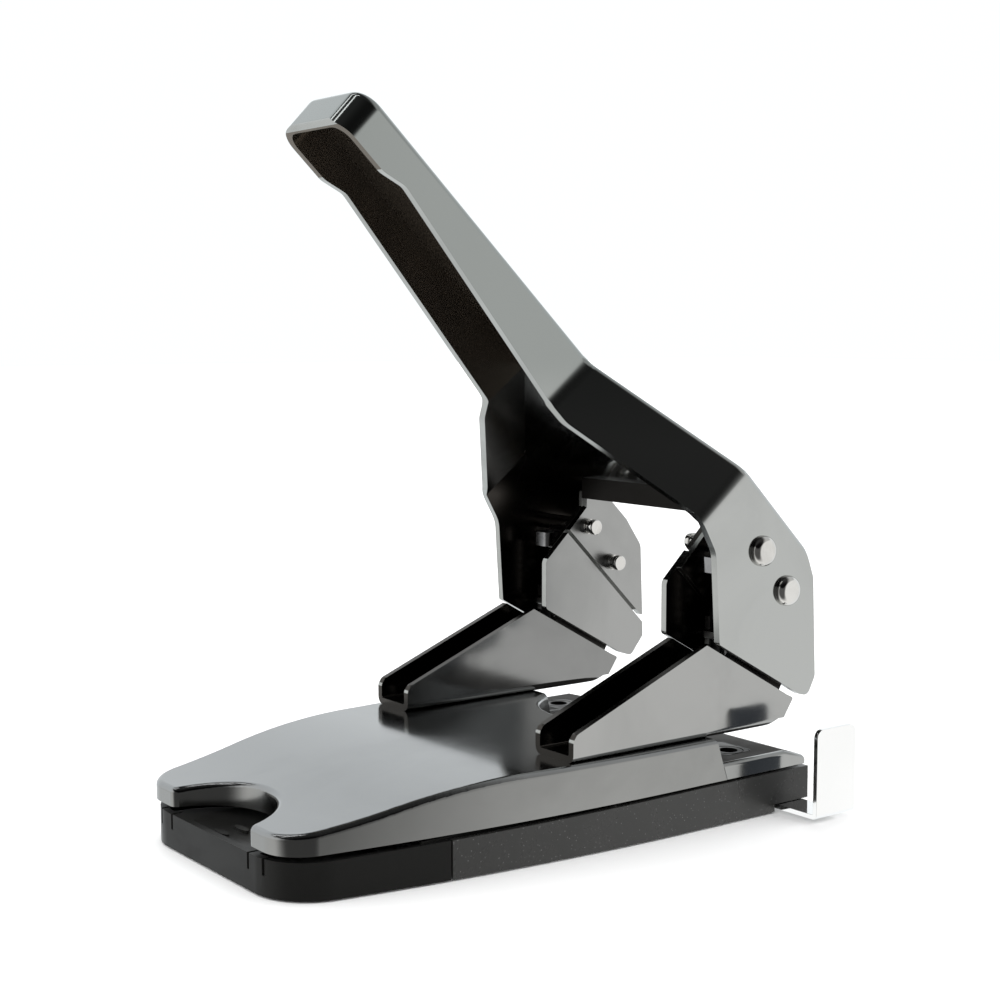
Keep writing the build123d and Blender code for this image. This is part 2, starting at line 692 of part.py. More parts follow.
with BuildPart() as guide_plate:
    with BuildSketch(Plane.XY.offset(guide_plate_z)):
        with Locations((tower_x, (guide_plate_front_y + guide_plate_rear_y) / 2)):
            RectangleRounded(frame_width, guide_plate_rear_y - guide_plate_front_y, guide_plate_corner)
        with Locations((tower_x, 0)):
            Circle(punch_radius + running_gap, mode=Mode.SUBTRACT)
    extrude(amount=guide_plate_thickness)

with BuildPart() as guide_bush:
    with BuildSketch(Plane.XY.offset(cover_top)):
        with Locations((tower_x, 0)):
            Circle(bush_spigot_radius)
    extrude(amount=frame_sheet + bracket_sheet + bush_height)
    with BuildSketch(Plane.XY.offset(bracket_deck)):
        with Locations((tower_x, 0)):
            Circle(bush_radius)
    extrude(amount=bush_height)
    with BuildSketch(Plane.XY.offset(cover_top)):
        with Locations((tower_x, 0)):
            Circle(punch_radius + running_gap)
    extrude(amount=pivot_height, mode=Mode.SUBTRACT)

# ---- punches ----
punch_tip = cover_top + punch_rest_gap
head_bottom = head_top - head_height

with BuildPart() as punch:
    with BuildSketch(Plane.XY.offset(punch_tip)):
        with Locations((tower_x, 0)):
            Circle(punch_radius)
    extrude(amount=head_bottom - punch_tip)
    with BuildSketch(Plane.XY.offset(head_bottom)):
        with Locations((tower_x, (head_back - head_front) / 2)):
            RectangleRounded(2 * (inner_half - head_side_gap), head_front + head_back, head_front / 4)
    extrude(amount=head_height)
    # the cutting end is hollowed across, so that two points enter the paper first
    with BuildSketch(Plane.XZ.offset(-2 * punch_radius)):
        with Locations((tower_x, punch_tip + punch_tip_hollow - punch_hollow_radius)):
            Circle(punch_hollow_radius)
    extrude(amount=4 * punch_radius, mode=Mode.SUBTRACT)

# ---- return springs: one tube along arcs between points of a helix ----
spring_bottom = guide_plate_top + spring_end_gap
spring_top = head_bottom - spring_end_gap
spring_radius = punch_radius + spring_gap + spring_wire / 2
spring_rise = (spring_top - spring_bottom - spring_wire) / spring_turns
quarter_turns = 4 * spring_turns


def helix_point(quarter):
    """Centre of the wire after so many quarter turns."""
    angle = quarter * pi / 2
    return Vector(tower_x + spring_radius * cos(angle), spring_radius * sin(angle),
                  spring_bottom + spring_wire / 2 + spring_rise * quarter / 4)


def helix_heading(quarter):
    """Direction of the wire there."""
    angle = quarter * pi / 2
    along = 2 * pi * spring_radius
    return Vector(-along * sin(angle), along * cos(angle), spring_rise).normalized()


with BuildPart() as punch_spring:
    with BuildLine() as coil:
        for quarter in range(quarter_turns):
            first = helix_point(quarter)
            last = helix_point(quarter + 1)
            leave = helix_heading(quarter)
            arrive = helix_heading(quarter + 1)
            chord = last - first
            spread = 1 - leave.dot(arrive)
            reach = chord.dot(leave + arrive)
            arm = (sqrt(reach**2 + 2 * spread * chord.dot(chord)) - reach) / (2 * spread)
            joint = (first + last + (leave - arrive) * arm) / 2
            TangentArc(first, joint, tangent=leave)
            TangentArc(joint, last, tangent=(last - arrive * arm) - joint)
    with BuildSketch(Plane(helix_point(0), z_dir=helix_heading(0))):
        Circle(spring_wire / 2)
    sweep()

# the least gap of the wire to itself, from points along it that lie at least half a turn apart
wire_points = [arc @ (step / wire_steps) for arc in coil.edges().sort_by(Axis.Z) for step in range(wire_steps)]
half_turn = 4 * wire_steps
wire_gap = min((far - near).length for index, near in enumerate(wire_points)
               for far in wire_points[index + half_turn:]) - spring_wire
print("spring: rise", round(spring_rise, 2), "least gap to itself", round(wire_gap, 2),
      "volume", round(punch_spring.part.volume, 1),
      "section times length", round(sum(arc.length for arc in coil.edges()) * pi * spring_wire**2 / 4, 1))

with BuildPart() as pivot_bush:
    with BuildSketch(Plane.YZ.offset(tower_x - inner_half)):
        with Locations((pivot_y, pivot_z)):
            Circle(pin_radius + running_gap + bush_wall)
            Circle(pin_radius + running_gap, mode=Mode.SUBTRACT)
    extrude(amount=2 * inner_half)

# ---- handle: one folded sheet ----
tilt = grip_tilt * pi / 180


def from_pivot(point):
    """(y, z) of a point that is given from the pivot."""
    return (pivot_y + point[0], pivot_z + point[1])


def grip_point(along, depth):
    """(y, z) at a distance along the grip's back from the tip, and at a depth under it."""
    tip_y = pivot_y + knee[0] - grip_length * cos(tilt)
    tip_z = pivot_z + knee[1] + grip_length * sin(tilt)
    return (tip_y + along * cos(tilt) - depth * sin(tilt), tip_z - along * sin(tilt) - depth * cos(tilt))


def slot_line(y):
    """Height of the lower edge of cheeks and brackets, beside the slot of the wedge frames."""
    fall = (peak_z - slot_end_z) / (slot_end_y - frame_peak_y)
    return peak_z - fall * (y - frame_peak_y) + slot_gap * sqrt(1 + fall**2)


def back_line(y):
    """Height of the handle's back between the shoulder and the heel."""
    fall = (shoulder[1] - heel[1]) / (heel[0] - shoulder[0])
    return pivot_z + shoulder[1] - fall * (y - pivot_y - shoulder[0])


def offset_line(first, last, distance):
    """A line's two points moved to its inner side, below the handle's back."""
    run = last[0] - first[0]
    fall = first[1] - last[1]
    length = hypot(run, fall)
    shift_y = -fall / length * distance
    shift_z = -run / length * distance
    return (first[0] + shift_y, first[1] + shift_z), (last[0] + shift_y, last[1] + shift_z)


def crossing(a, b, c, d):
    """Where the lines ab and cd meet."""
    turn = (b[0] - a[0]) * (d[1] - c[1]) - (b[1] - a[1]) * (d[0] - c[0])
    share = ((c[0] - a[0]) * (d[1] - c[1]) - (c[1] - a[1]) * (d[0] - c[0])) / turn
    return (a[0] + share * (b[0] - a[0]), a[1] + share * (b[1] - a[1]))


tip_back = grip_point(0, 0)
knee_back = from_pivot(knee)
shoulder_back = from_pivot(shoulder)
heel_back = from_pivot(heel)
knee_edge = grip_point(grip_length - knee_edge_back, knee_depth)
cheek_front = pivot_y + cheek_front_y

handle_side = [
    tip_back,
    knee_back,
    shoulder_back,
    heel_back,
    from_pivot(cheek_rear_top),
    from_pivot(cheek_rear_bottom),
    from_pivot(cheek_tail),
    (slot_end_y + cheek_past_slot, slot_line(slot_end_y + cheek_past_slot)),
    (cheek_front, slot_line(cheek_front)),
    from_pivot(cheek_front_top),
    from_pivot(flare_edge_bottom),
    from_pivot(flare_edge_top),
    knee_edge,
    grip_point(step_end, step_depth),
    grip_point(step_start, tip_depth),
    grip_point(0, tip_depth),
]
handle_rounding = [0, 0, 0, 0, 2.0, 3.0, 2.5, 0, 1.0, 9.0, 9.0, 5.0, 4.0, 5.0, 6.0, 1.5]

grip_inner = offset_line(tip_back, knee_back, sheet)
neck_inner = offset_line(knee_back, shoulder_back, sheet)
strip_inner = offset_line(shoulder_back, heel_back, sheet)
handle_void = [
    grip_point(sheet, sheet),
    crossing(*grip_inner, *neck_inner),
    crossing(*neck_inner, *strip_inner),
    strip_inner[1],
    heel_back,
    (pivot_y + grip_length, heel_back[1]),
    (pivot_y + grip_length, 0),
    (tip_back[0] - grip_length, 0),
    grip_point(sheet, grip_length),
]

flare_a = Vector(grip_half_width, *knee_back)
flare_b = Vector(cheek_outer_x, *shoulder_back)
flare_c = Vector(grip_half_width, *knee_edge)
flare_normal = (flare_c - flare_a).cross(flare_b - flare_a).normalized()


def flare_plane(side, inset):
    """Outer face of one side of the flare, moved inwards by inset."""
    origin = flare_a - flare_normal * inset
    return Plane((side * origin.X, origin.Y, origin.Z),
                 z_dir=(side * flare_normal.X, flare_normal.Y, flare_normal.Z))


def handle_block(points, radii, inset):
    """Solid between the handle's side outline and its grip, flare and cheek faces."""
    half = cheek_outer_x - inset
    grip_half = grip_half_width - inset
    turn_x = grip_half_width - tip_corner
    with BuildPart() as block:
        with BuildSketch(Plane.YZ.offset(-half)):
            draw_polygon(points, radii)
        extrude(amount=2 * half)
        split(bisect_by=flare_plane(1, inset), keep=Keep.BOTTOM)
        split(bisect_by=flare_plane(-1, inset), keep=Keep.BOTTOM)
        with BuildSketch(Plane.YZ.offset(-grip_half)):
            draw_polygon(points, radii)
        extrude(amount=2 * grip_half)
        # the grip's sides turn round into its end
        with BuildSketch(Plane((0, *tip_back), x_dir=(1, 0, 0), z_dir=(0, sin(tilt), cos(tilt)))):
            for side in (-1, 1):
                with Locations((side * grip_half_width, 0)):
                    Rectangle(2 * tip_corner, 2 * tip_corner)
                with Locations((side * turn_x, tip_corner)):
                    Circle(tip_corner - inset, mode=Mode.SUBTRACT)
        extrude(amount=grip_length, both=True, mode=Mode.SUBTRACT)
    return block.part


def middle(first, last):
    """Point half-way between two (y, z) points."""
    return ((first[0] + last[0]) / 2, (first[1] + last[1]) / 2)


flare_run = Vector(0, -flare_normal.Z, flare_normal.Y).normalized() * 2 * sheet
# a point beside each fold of the right-hand half: down the sides of the flare, and along the back
flare_folds = [
    (flare_a.X, *middle(knee_back, knee_edge)),
    tuple(flare_b + flare_run),
]
back_folds = [
    (grip_half_width, *middle(tip_back, knee_back)),
    (grip_half_width / 2, *tip_back),
    tuple((flare_a + flare_b) / 2),
    (cheek_outer_x, *middle(shoulder_back, heel_back)),
]
lip_y = pivot_y + lip_front

with BuildPart() as handle:
    add(handle_block(handle_side, handle_rounding, 0))
    split(bisect_by=Plane.YZ, keep=Keep.TOP)
    fillet([handle.edges().sort_by_distance(place)[0] for place in flare_folds], radius=flare_radius)
    fillet([handle.edges().sort_by_distance(place)[0] for place in back_folds], radius=bend_radius)
    add(handle_block(handle_void, 0, sheet), mode=Mode.SUBTRACT)
    mirror(about=Plane.YZ)
    # window between the towers, with its lip
    with BuildSketch(Plane.YZ.offset(-flange_x)):
        with Locations((lip_y + sheet + grip_length / 2, pivot_z)):
            Rectangle(grip_length, 2 * grip_length)
    extrude(amount=2 * flange_x, mode=Mode.SUBTRACT)
    with BuildSketch(Plane.YZ.offset(-flange_x - sheet / 2)):
        draw_polygon([
            (lip_y, pivot_z + lip_bottom),
            (lip_y + sheet, pivot_z + lip_bottom),
            (lip_y + sheet, back_line(lip_y + sheet)),
            (lip_y, back_line(lip_y)),
        ])
    extrude(amount=2 * flange_x + sheet)
    # inner flanges
    flange_y, flange_z = from_pivot(flange_front)
    flange_end_y = pivot_y + flange_rear_y
    flange_side = [
        (flange_y, flange_z),
        (flange_y + flange_rise, flange_z + flange_rise),
        (flange_y + flange_rise, back_line(flange_y + flange_rise)),
        heel_back,
        from_pivot(flange_rear_top),
        (flange_end_y, flange_z - flange_end_y + flange_y),
    ]
    flange_rounding = [0, 0.8, 0, 1.0, 4.0, 0.5]
    for x in (-flange_x - sheet, flange_x):
        with BuildSketch(Plane.YZ.offset(x)):
            draw_polygon(flange_side, flange_rounding)
        extrude(amount=sheet)
    # pin holes through everything
    with BuildSketch(Plane.YZ.offset(-cheek_outer_x)):
        with Locations((pivot_y, pivot_z), (drive_y, drive_z)):
            Circle(pin_radius + fit_gap)
    extrude(amount=2 * cheek_outer_x, mode=Mode.SUBTRACT)

# ---- lower inner brackets, joggled behind the flanges ----
step = triangle_gap / sqrt(2)
corner = (flange_front[0] - step, flange_front[1] - step)
lap = (bracket_front[0] + layer_overlap, bracket_front[1] + layer_overlap)
bracket_low = [
    from_pivot(corner),
    from_pivot(bracket_front),
    (pivot_y + bracket_nose_y, pivot_z + bracket_front[1] - layer_overlap / 3),
    (pivot_y + bracket_nose_y, slot_line(pivot_y + bracket_nose_y)),
    (slot_end_y, slot_line(slot_end_y)),
    from_pivot(cheek_tail),
    from_pivot(bracket_tail),
    from_pivot((flange_rear_y, corner[1] + corner[0] - flange_rear_y)),
]
bracket_rounding = [0, 2.0, 2.0, 1.5, 1.5, 2.0, 2.0, 0]
inner_top = offset_line(shoulder_back, heel_back, sheet + inner_gap)
bracket_high = [
    from_pivot(lap),
    (flange_y + flange_rise, flange_z + flange_rise),
    (flange_y + flange_rise, back_line(flange_y + flange_rise) - 3 * sheet),
    (inner_top[1][0] - 2 * sheet, inner_top[1][1]),
    from_pivot((flange_rear_top[0] - sheet, flange_rear_top[1])),
    from_pivot((flange_rear_y - sheet, corner[1] + corner[0] - flange_rear_y)),
    from_pivot((flange_rear_y - 2 * sheet, lap[1] + lap[0] - flange_rear_y + 2 * sheet)),
]

with BuildPart() as inner_bracket:
    with BuildSketch(Plane.YZ.offset(flange_x)):
        draw_polygon(bracket_low, bracket_rounding)
    extrude(amount=sheet)
    with BuildSketch(Plane.YZ.offset(layer_inner_x)):
        draw_polygon(bracket_high)
    extrude(amount=bracket_layer)
    with BuildSketch(Plane.YZ.offset(flange_x)):
        with Locations((pivot_y, pivot_z), (drive_y, drive_z)):
            Circle(pin_radius + fit_gap)
    extrude(amount=frame_width, mode=Mode.SUBTRACT)


# ---- domed pins with grooved tails ----
def domed_pin(y, z):
    """Pin through one tower, its head on the cheek."""
    tail_x = flange_x - pin_tail
    groove_x = tail_x + pin_groove_inset
    with BuildPart() as pin:
        with BuildSketch(Plane.YZ.offset(tail_x)):
            with Locations((y, z)):
                Circle(pin_radius)
        extrude(amount=cheek_outer_x - tail_x)
        tail = pin.edges().sort_by(Axis.X)[0]
        chamfer(tail, length=pin_groove_depth / 2)
        with BuildSketch(Plane.YZ.offset(cheek_outer_x)):
            with Locations((y, z)):
                Circle(pin_head_radius)
        extrude(amount=pin_head_height)
        dome = pin.edges().sort_by(Axis.X)[-1]
        fillet(dome, radius=pin_dome_radius)
        with BuildSketch(Plane.YZ.offset(groove_x)):
            with Locations((y, z)):
                Circle(2 * pin_radius)
                Circle(pin_radius - pin_groove_depth, mode=Mode.SUBTRACT)
        extrude(amount=pin_groove_width, mode=Mode.SUBTRACT)
    return pin.part


pivot_pin = domed_pin(pivot_y, pivot_z)
drive_pin = domed_pin(drive_y, drive_z)

with BuildPart() as pivot_spacer:
    for x_low, x_high in ((layer_outer_x, tower_x - bracket_half), (tower_x + bracket_half, cheek_inner_x)):
        with BuildSketch(Plane.YZ.offset(x_low + plate_gap)):
            with Locations((pivot_y, pivot_z)):
                Circle(pin_radius + running_gap + bush_wall)
                Circle(pin_radius + running_gap, mode=Mode.SUBTRACT)
        extrude(amount=x_high - x_low - 2 * plate_gap)

# ---- what clamps frames, cover and deck ----
screw_places = [(side * tower_x, y) for side in (-1, 1) for y in frame_screw_y]
screw_seats = {frame_screw_y[0]: bracket_floor, frame_screw_y[1]: bracket_deck}

with BuildPart() as frame_screws:
    for x, y in screw_places:
        with BuildSketch(Plane.XY.offset(frame_screw_end)):
            with Locations((x, y)):
                Circle(frame_screw_radius)
        extrude(amount=screw_seats[y] - frame_screw_end)
        with BuildSketch(Plane.XY.offset(screw_seats[y])):
            with Locations((x, y)):
                Circle(frame_screw_head_radius)
        extrude(amount=frame_screw_head)
        with BuildSketch(Plane.XY.offset(screw_seats[y] + frame_screw_head / 2)):
            with Locations((x, y)):
                RegularPolygon(frame_screw_radius, 6)
        extrude(amount=frame_screw_head, mode=Mode.SUBTRACT)

with BuildPart() as spacer_sleeves:
    with BuildSketch(Plane.XY.offset(deck_height)):
        with Locations(*screw_places):
            Circle(sleeve_radius)
            Circle(frame_screw_radius + fit_gap, mode=Mode.SUBTRACT)
    extrude(amount=throat_height - cover_thickness)

with BuildPart() as frame_nuts:
    with BuildSketch(Plane.XY.offset(deck_height - deck_thickness - nut_height)):
        with Locations(*screw_places):
            RegularPolygon(nut_across / 2, 6, major_radius=False)
            Circle(frame_screw_radius + fit_gap, mode=Mode.SUBTRACT)
    extrude(amount=nut_height)

with BuildPart() as base_screws:
    for side in (-1, 1):
        for y in boss_y:
            with BuildSketch(Plane.XY.offset(foot_stand + fit_gap)):
                with Locations((side * boss_x, y)):
                    Circle(base_screw_head_radius)
            extrude(amount=base_screw_head)
            with BuildSketch(Plane.XY.offset(foot_stand + fit_gap)):
                with Locations((side * boss_x, y)):
                    Circle(base_screw_radius)
            extrude(amount=deck_height - base_screw_skin - foot_stand - 3 * fit_gap)
            with BuildSketch(Plane.XY.offset(foot_stand + fit_gap)):
                with Locations((side * boss_x, y)):
                    Rectangle(2 * base_screw_radius, base_screw_radius / 3)
                    Rectangle(base_screw_radius / 3, 2 * base_screw_radius)
            extrude(amount=base_screw_head / 2, mode=Mode.SUBTRACT)

# ---- rubber feet ----
with BuildPart() as rear_foot:
    with BuildSketch(Plane.XY):
        Rectangle(foot_length, foot_width)
    extrude(amount=foot_thickness)

with BuildPart() as front_feet:
    with BuildSketch(Plane.XY):
        with Locations((-pad_x, pad_y), (pad_x, pad_y)):
            Circle(pad_radius)
    extrude(amount=foot_thickness)

# ---- paper guide ----
with BuildPart() as paper_guide:
    with BuildSketch(Plane.XZ.offset(-guide_front_y)):
        draw_polygon([
            (guide_inner_x, guide_z),
            (guide_outer_x, guide_z),
            (guide_outer_x, guide_fence_top),
            (guide_outer_x - guide_sheet, guide_fence_top),
            (guide_outer_x - guide_sheet, guide_z + guide_sheet),
            (guide_inner_x, guide_z + guide_sheet),
        ], [0, guide_bend_radius, 0, 0, guide_bend_radius / 4, 0])
    extrude(amount=-(guide_fence_rear_y - guide_front_y))
    with BuildSketch(Plane.XY):
        with Locations((guide_inner_x, guide_front_y + guide_width)):
            Rectangle(guide_outer_x - guide_sheet - guide_bend_radius / 4 - guide_inner_x,
                      2 * guide_width, align=(Align.MIN, Align.MIN))
    extrude(amount=guide_fence_top, mode=Mode.SUBTRACT)
    fence_corners = paper_guide.edges().filter_by(Axis.X).filter_by(
        lambda e: e.center().Z > guide_fence_top - fit_gap)
    fillet(fence_corners, radius=guide_fence_corner)

# ---- export ----
os.makedirs("parts", exist_ok=True)
single = {
    "base_frame": base_frame.part,
    "chip_tray": chip_tray.part,
    "cover_plate": cover_plate.part,
    "die_plate": die_plate.part,
    "handle": handle.part,
    "frame_screws": frame_screws.part,
    "spacer_sleeves": spacer_sleeves.part,
    "frame_nuts": frame_nuts.part,
    "base_screws": base_screws.part,
    "rear_foot": rear_foot.part,
    "front_feet": front_feet.part,
    "paper_guide": paper_guide.part,
}
paired = {
    "die_insert": die_insert.part,
    "wedge_frame": wedge_frame.part,
    "punch_bracket": punch_bracket.part,
    "guide_plate": guide_plate.part,
    "guide_bush": guide_bush.part,
    "punch": punch.part,
    "punch_spring": punch_spring.part,
    "pivot_bush": pivot_bush.part,
    "inner_bracket": inner_bracket.part,
    "pivot_pin": pivot_pin,
    "drive_pin": drive_pin,
    "pivot_spacer": pivot_spacer.part,
}
pieces = dict(single)
for name, piece in paired.items():
    pieces[name + "_right"] = piece
    pieces[name + "_left"] = mirrored(piece)
for name, piece in pieces.items():
    piece.label = name
    export_step(piece, f"parts/{name}.step")
print("stroke", round(stroke, 3), "mm", len(pieces), "nodes")
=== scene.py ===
# Two-hole lever punch: finishes, rounded sheet edges, springs, studio and camera.
import json
import math

import bmesh
import bpy
from mathutils import Matrix, Vector

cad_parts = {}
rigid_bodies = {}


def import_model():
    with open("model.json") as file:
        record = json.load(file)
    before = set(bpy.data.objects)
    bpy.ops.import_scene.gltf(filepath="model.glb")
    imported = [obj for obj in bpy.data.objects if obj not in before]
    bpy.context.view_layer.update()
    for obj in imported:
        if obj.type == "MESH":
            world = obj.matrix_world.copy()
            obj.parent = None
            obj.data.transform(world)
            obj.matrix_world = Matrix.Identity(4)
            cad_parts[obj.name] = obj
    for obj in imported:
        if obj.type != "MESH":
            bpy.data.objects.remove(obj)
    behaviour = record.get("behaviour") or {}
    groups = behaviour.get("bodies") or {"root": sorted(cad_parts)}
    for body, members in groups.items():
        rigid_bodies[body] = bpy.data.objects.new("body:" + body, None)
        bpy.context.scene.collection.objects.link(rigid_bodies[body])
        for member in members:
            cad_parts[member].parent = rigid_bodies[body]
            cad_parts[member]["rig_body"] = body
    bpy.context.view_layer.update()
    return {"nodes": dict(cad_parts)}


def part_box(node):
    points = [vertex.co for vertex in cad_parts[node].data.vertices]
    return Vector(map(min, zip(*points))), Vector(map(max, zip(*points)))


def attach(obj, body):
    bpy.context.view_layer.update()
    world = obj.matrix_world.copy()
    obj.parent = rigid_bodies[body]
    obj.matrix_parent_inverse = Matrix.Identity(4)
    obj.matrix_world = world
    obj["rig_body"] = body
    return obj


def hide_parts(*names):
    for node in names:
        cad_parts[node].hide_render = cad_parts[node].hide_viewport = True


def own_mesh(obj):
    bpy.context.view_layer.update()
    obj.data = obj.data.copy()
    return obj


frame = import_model()
nodes = frame["nodes"]
mm = 0.001
print("frame loaded:", len(nodes), "pieces")


def addNode(tree, kind, sockets=None, **values):
    node = tree.nodes.new(kind)
    for name, value in values.items():
        setattr(node, name, value)
    for name, value in (sockets or {}).items():
        node.inputs[name].default_value = value
    return node


def join(tree, source, output, target, entry):
    tree.links.new(source.outputs[output], target.inputs[entry])


def addFade(tree, source, output, low, high, start=0.0, last=1.0):
    # start below low, last above high, and a soft step between them
    ends = {"From Min": low, "From Max": high, "To Min": start, "To Max": last}
    fade = addNode(tree, "ShaderNodeMapRange", ends, interpolation_type="SMOOTHSTEP")
    join(tree, source, output, fade, "Value")
    return fade


def addProduct(tree, first, firstOutput, second, secondOutput):
    product = addNode(tree, "ShaderNodeMath", operation="MULTIPLY")
    join(tree, first, firstOutput, product, 0)
    join(tree, second, secondOutput, product, 1)
    return product


def newGroup(name, inputs, outputs):
    group = bpy.data.node_groups.new(name, "ShaderNodeTree")
    for label, default in inputs.items():
        socket = group.interface.new_socket(label, in_out="INPUT", socket_type="NodeSocketFloat")
        socket.default_value = default
    for label in outputs:
        group.interface.new_socket(label, in_out="OUTPUT", socket_type="NodeSocketFloat")
    return group, addNode(group, "NodeGroupInput"), addNode(group, "NodeGroupOutput")


# effects that several finishes share; the inputs are what each finish may set
effects = {
    "smudges": {
        "inputs": {"scale": 26.0, "clean": 0.1, "dull": 0.2},
        "cloud": {"Detail": 5.0, "Roughness": 0.62, "Distortion": 0.6},
        "patchFrom": 0.38,      # height of the cloud where a patch starts, and is full
        "patchTo": 0.72,
    },
    "rollGrain": {
        "inputs": {"fine": 900.0, "turn": 0.0},
        "lines": {"Detail": 3.0},
        "stretch": (1.0, 0.035, 1.0),
    },
    "speckle": {
        "inputs": {"fine": 1500.0, "share": 0.5},
        "pits": {"Detail": 2.0},
        "grains": {"From Min": 0.16, "From Max": 0.04},     # distance from a cell's middle
    },
    "dust": {
        "inputs": {"amount": 0.1, "scale": 60.0},
        "cloud": {"Detail": 8.0},
        "upward": {"From Min": 0.35, "From Max": 1.0},      # upward part of the normal
    },
}


def makeSmudges(effect):
    # soft patches of handling marks that dull a polished face
    group, start, end = newGroup("smudges", effect["inputs"], ("roughness", "mask"))
    place = addNode(group, "ShaderNodeTexCoord")
    cloud = addNode(group, "ShaderNodeTexNoise", effect["cloud"], noise_dimensions="3D")
    join(group, place, "Object", cloud, "Vector")
    join(group, start, "scale", cloud, "Scale")
    spread = addFade(group, cloud, "Fac", effect["patchFrom"], effect["patchTo"])
    level = addNode(group, "ShaderNodeMapRange")
    join(group, spread, "Result", level, "Value")
    join(group, start, "clean", level, "To Min")
    join(group, start, "dull", level, "To Max")
    join(group, level, "Result", end, "roughness")
    join(group, spread, "Result", end, "mask")
    return group


def makeRollGrain(effect):
    # fine lines left by rolling and polishing, drawn out along one direction
    group, start, end = newGroup("rollGrain", effect["inputs"], ("height",))
    place = addNode(group, "ShaderNodeTexCoord")
    turn = addNode(group, "ShaderNodeVectorRotate", rotation_type="X_AXIS")
    join(group, place, "Object", turn, "Vector")
    join(group, start, "turn", turn, "Angle")
    drawnOut = {1: effect["stretch"]}
    stretch = addNode(group, "ShaderNodeVectorMath", drawnOut, operation="MULTIPLY")
    join(group, turn, "Vector", stretch, 0)
    lines = addNode(group, "ShaderNodeTexNoise", effect["lines"])
    join(group, stretch, "Vector", lines, "Vector")
    join(group, start, "fine", lines, "Scale")
    join(group, lines, "Fac", end, "height")
    return group


def makeSpeckle(effect):
    # the sparkle-eroded skin of a moulding
    group, start, end = newGroup("speckle", effect["inputs"], ("height", "mask"))
    place = addNode(group, "ShaderNodeTexCoord")
    pits = addNode(group, "ShaderNodeTexNoise", effect["pits"])
    cells = addNode(group, "ShaderNodeTexVoronoi")
    for pattern in (pits, cells):
        join(group, place, "Object", pattern, "Vector")
        join(group, start, "fine", pattern, "Scale")
    both = addNode(group, "ShaderNodeMix", data_type="FLOAT")
    join(group, start, "share", both, "Factor")
    join(group, pits, "Fac", both, "A")
    join(group, cells, "Distance", both, "B")
    join(group, both, "Result", end, "height")
    grains = addNode(group, "ShaderNodeMapRange", effect["grains"])
    join(group, cells, "Distance", grains, "Value")
    join(group, grains, "Result", end, "mask")
    return group


def makeDust(effect):
    # a thin grey film on faces that look up
    group, start, end = newGroup("dust", effect["inputs"], ("mask",))
    surface = addNode(group, "ShaderNodeNewGeometry")
    parts = addNode(group, "ShaderNodeSeparateXYZ")
    join(group, surface, "Normal", parts, "Vector")
    upward = addNode(group, "ShaderNodeMapRange", effect["upward"])
    join(group, parts, "Z", upward, "Value")
    place = addNode(group, "ShaderNodeTexCoord")
    cloud = addNode(group, "ShaderNodeTexNoise", effect["cloud"])
    join(group, place, "Object", cloud, "Vector")
    join(group, start, "scale", cloud, "Scale")
    patchy = addProduct(group, upward, "Result", cloud, "Fac")
    film = addProduct(group, patchy, "Value", start, "amount")
    join(group, film, "Value", end, "mask")
    return group


smudges = makeSmudges(effects["smudges"])
rollGrain = makeRollGrain(effects["rollGrain"])
speckle = makeSpeckle(effects["speckle"])
dust = makeDust(effects["dust"])
print("shared effects ready")


def newMaterial(name, metallic=0.0, specular=0.5):
    material = bpy.data.materials.new(name)
    material.use_nodes = True
    tree = material.node_tree
    tree.nodes.clear()
    surface = {"Metallic": metallic, "Specular IOR Level": specular}
    shader = addNode(tree, "ShaderNodeBsdfPrincipled", surface)
    output = addNode(tree, "ShaderNodeOutputMaterial")
    join(tree, shader, "BSDF", output, "Surface")
    return material, tree, shader


def addBump(tree, shader, source, output, strength, depth):
    # depth in mm
    bump = addNode(tree, "ShaderNodeBump", {"Strength": strength, "Distance": depth * mm})
    join(tree, source, output, bump, "Height")
    join(tree, bump, "Normal", shader, "Normal")


def addMix(tree, base, other, source, output):
    # base may be a colour or the socket that one comes from
    mix = addNode(tree, "ShaderNodeMix", {"B": (*other, 1.0)}, data_type="RGBA")
    if isinstance(base, tuple):
        mix.inputs["A"].default_value = (*base, 1.0)
    else:
        tree.links.new(base, mix.inputs["A"])
    join(tree, source, output, mix, "Factor")
    return mix


def addSmudges(tree, shader, scale, roughness):
    clean, dull = roughness
    values = {"scale": scale, "clean": clean, "dull": dull}
    marks = addNode(tree, "ShaderNodeGroup", values, node_tree=smudges)
    join(tree, marks, "roughness", shader, "Roughness")
    return marks


# what a steel has when its own look doesn't say; grainDepth in mm
plainSteel = {"metal": 1.0, "scale": 26.0, "turn": 0.0, "grain": 0.12, "grainDepth": 0.02}


def makeSteel(name, ownLook):
    # polished or satin steel: smudged roughness, rolled lines, slightly uneven colour
    look = {**plainSteel, **ownLook}
    material, tree, shader = newMaterial(name, metallic=look["metal"])
    marks = addSmudges(tree, shader, look["scale"], look["roughness"])
    colour = addMix(tree, look["colour"], look["dulled"], marks, "mask")
    join(tree, colour, "Result", shader, "Base Color")
    lines = addNode(tree, "ShaderNodeGroup", {"turn": look["turn"]}, node_tree=rollGrain)
    addBump(tree, shader, lines, "height", look["grain"], look["grainDepth"])
    return material


turnedRings = {
    "wave": {"Distortion": 1.5, "Detail": 2.0},
    "strength": 0.15,
    "depth": 0.02,              # mm
    "smudgeScale": 80.0,
}


